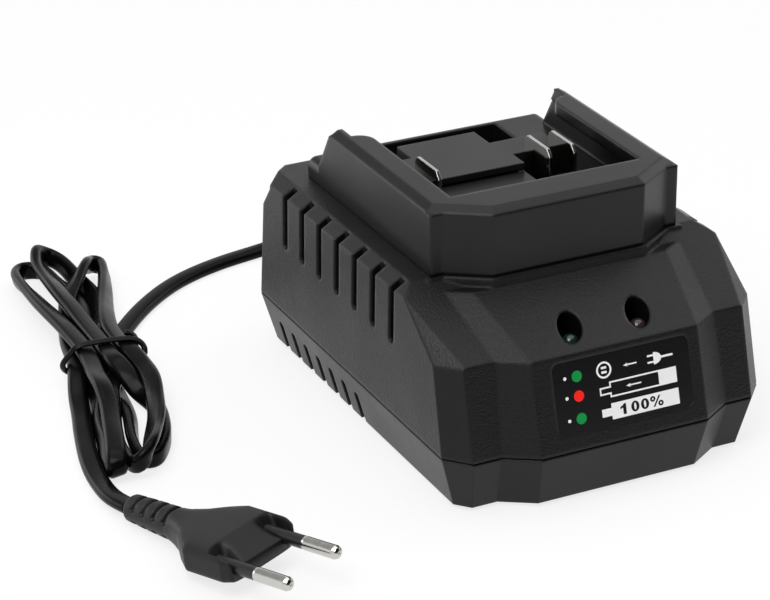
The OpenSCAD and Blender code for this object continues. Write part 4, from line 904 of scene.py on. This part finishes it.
# three rows, each with a pip and a lamp's dot at its left end
TOP_ROW, MIDDLE_ROW, LOW_ROW = 5.65, 0.0, -6.45
DOT_X, DOT_D, PIP_X, PIP_D = -14.2, 3.2, -18.0, 1.0
white_shapes = [disc(PIP_X, y, PIP_D, 16) for y in (TOP_ROW, MIDDLE_ROW, LOW_ROW)]

# top row: a round wall socket with two slots, an arrow, and a plug with two prongs and a cable
SOCKET_X, SOCKET_D, SOCKET_HOLE, SLOT_UP = -5.6, 4.8, 3.7, 0.65
white_shapes += [disc(SOCKET_X, TOP_ROW, SOCKET_D), disc(SOCKET_X, TOP_ROW, SOCKET_HOLE)]
white_shapes += [bar(SOCKET_X, TOP_ROW + side * SLOT_UP, 0.85, 0.33) for side in (-1, 1)]
white_shapes.append(arrow(0.6, 4.9, TOP_ROW))
PLUG_X, DOME_REACH, DOME_HALF, CABLE_END = 11.4, 2.5, 1.75, 16.6
CABLE_HALF, PRONG_HALF, PRONG_UP = 0.3, 0.27, 0.95
flat_x, cable_x, prong_x = PLUG_X - 1.0, PLUG_X + 1.4, PLUG_X - 3.0
t = np.linspace(-0.5 * np.pi, 0.5 * np.pi, 16)
dome = np.column_stack([flat_x + DOME_REACH * np.cos(t), TOP_ROW + DOME_HALF * np.sin(t)])
cable = [(cable_x, TOP_ROW - CABLE_HALF), (CABLE_END, TOP_ROW - CABLE_HALF),
         (CABLE_END, TOP_ROW + CABLE_HALF), (cable_x, TOP_ROW + CABLE_HALF)]
prongs = [[(flat_x, y + PRONG_HALF), (prong_x, y + PRONG_HALF), (prong_x, y - PRONG_HALF),
           (flat_x, y - PRONG_HALF)] for y in (TOP_ROW + PRONG_UP, TOP_ROW - PRONG_UP)]
plug_mark = np.vstack([dome[:7], cable, dome[9:], *prongs])

# middle row: an arrow, and a battery that is hollow up to a point and filled beyond it; low row: a full one
INK_LINE, HOLLOW_TO = 0.46, 11.4
left, neck, right, low, nub_low, nub_high, high = BATTERY = (-7.6, -4.4, 17.2, -2.5, -1.5, 0.75, 2.05)
FULL_BATTERY = (-7.6, -4.5, 17.3, -8.85, -7.7, -5.45, -4.2)
hollow = battery(left + INK_LINE, neck + INK_LINE, HOLLOW_TO, low + INK_LINE, nub_low + INK_LINE,
                 nub_high - INK_LINE, high - INK_LINE)
white_shapes += [arrow(0.9, 5.7, -0.25), battery(*BATTERY), hollow, battery(*FULL_BATTERY), plug_mark]
printed("label_white_print", white_shapes, white_ink)
printed("label_green_dots", [disc(DOT_X, y, DOT_D) for y in (TOP_ROW, LOW_ROW)], green_ink)
printed("label_red_dot", [disc(DOT_X, MIDDLE_ROW, DOT_D)], red_ink)

# the figure 100% in black on the full battery: its strokes, each zero and each ring of the percent sign
DIGIT_LOW, DIGIT_HIGH, STROKE = -8.1, -5.0, 0.92
ZERO_HALF, ZERO_CAP, RING_IN = 1.3, 0.55, 0.75
middle, half_high = (DIGIT_LOW + DIGIT_HIGH) / 2, (DIGIT_HIGH - DIGIT_LOW) / 2
one = [(-0.9, DIGIT_LOW), (0.1, DIGIT_LOW), (0.1, DIGIT_HIGH), (-0.55, DIGIT_HIGH),
       (-0.9, DIGIT_HIGH - 0.45), (-1.75, DIGIT_HIGH - 0.85), (-1.75, DIGIT_HIGH - 1.5),
       (-0.9, DIGIT_HIGH - 1.15)]
digit_shapes = [one, slanted(8.7, DIGIT_LOW, 10.7, DIGIT_HIGH, 0.6)]
for x in (3.0, 6.15):
    digit_shapes.append(oval(x, middle, ZERO_HALF, half_high))
    digit_shapes.append(oval(x, middle, ZERO_HALF - STROKE, half_high - ZERO_CAP))
for x, y in ((8.75, DIGIT_HIGH - RING_IN), (11.25, DIGIT_LOW + RING_IN)):
    digit_shapes += [oval(x, y, 0.86, 0.8), oval(x, y, 0.28, 0.3)]
digits = printed("label_charge_digits", digit_shapes, black_ink)
ON_TOP = 0.5 * INK_HALF * MM
digits.data.transform(Matrix.Translation((0, -cos(LABEL_LEAN) * ON_TOP, sin(LABEL_LEAN) * ON_TOP)))
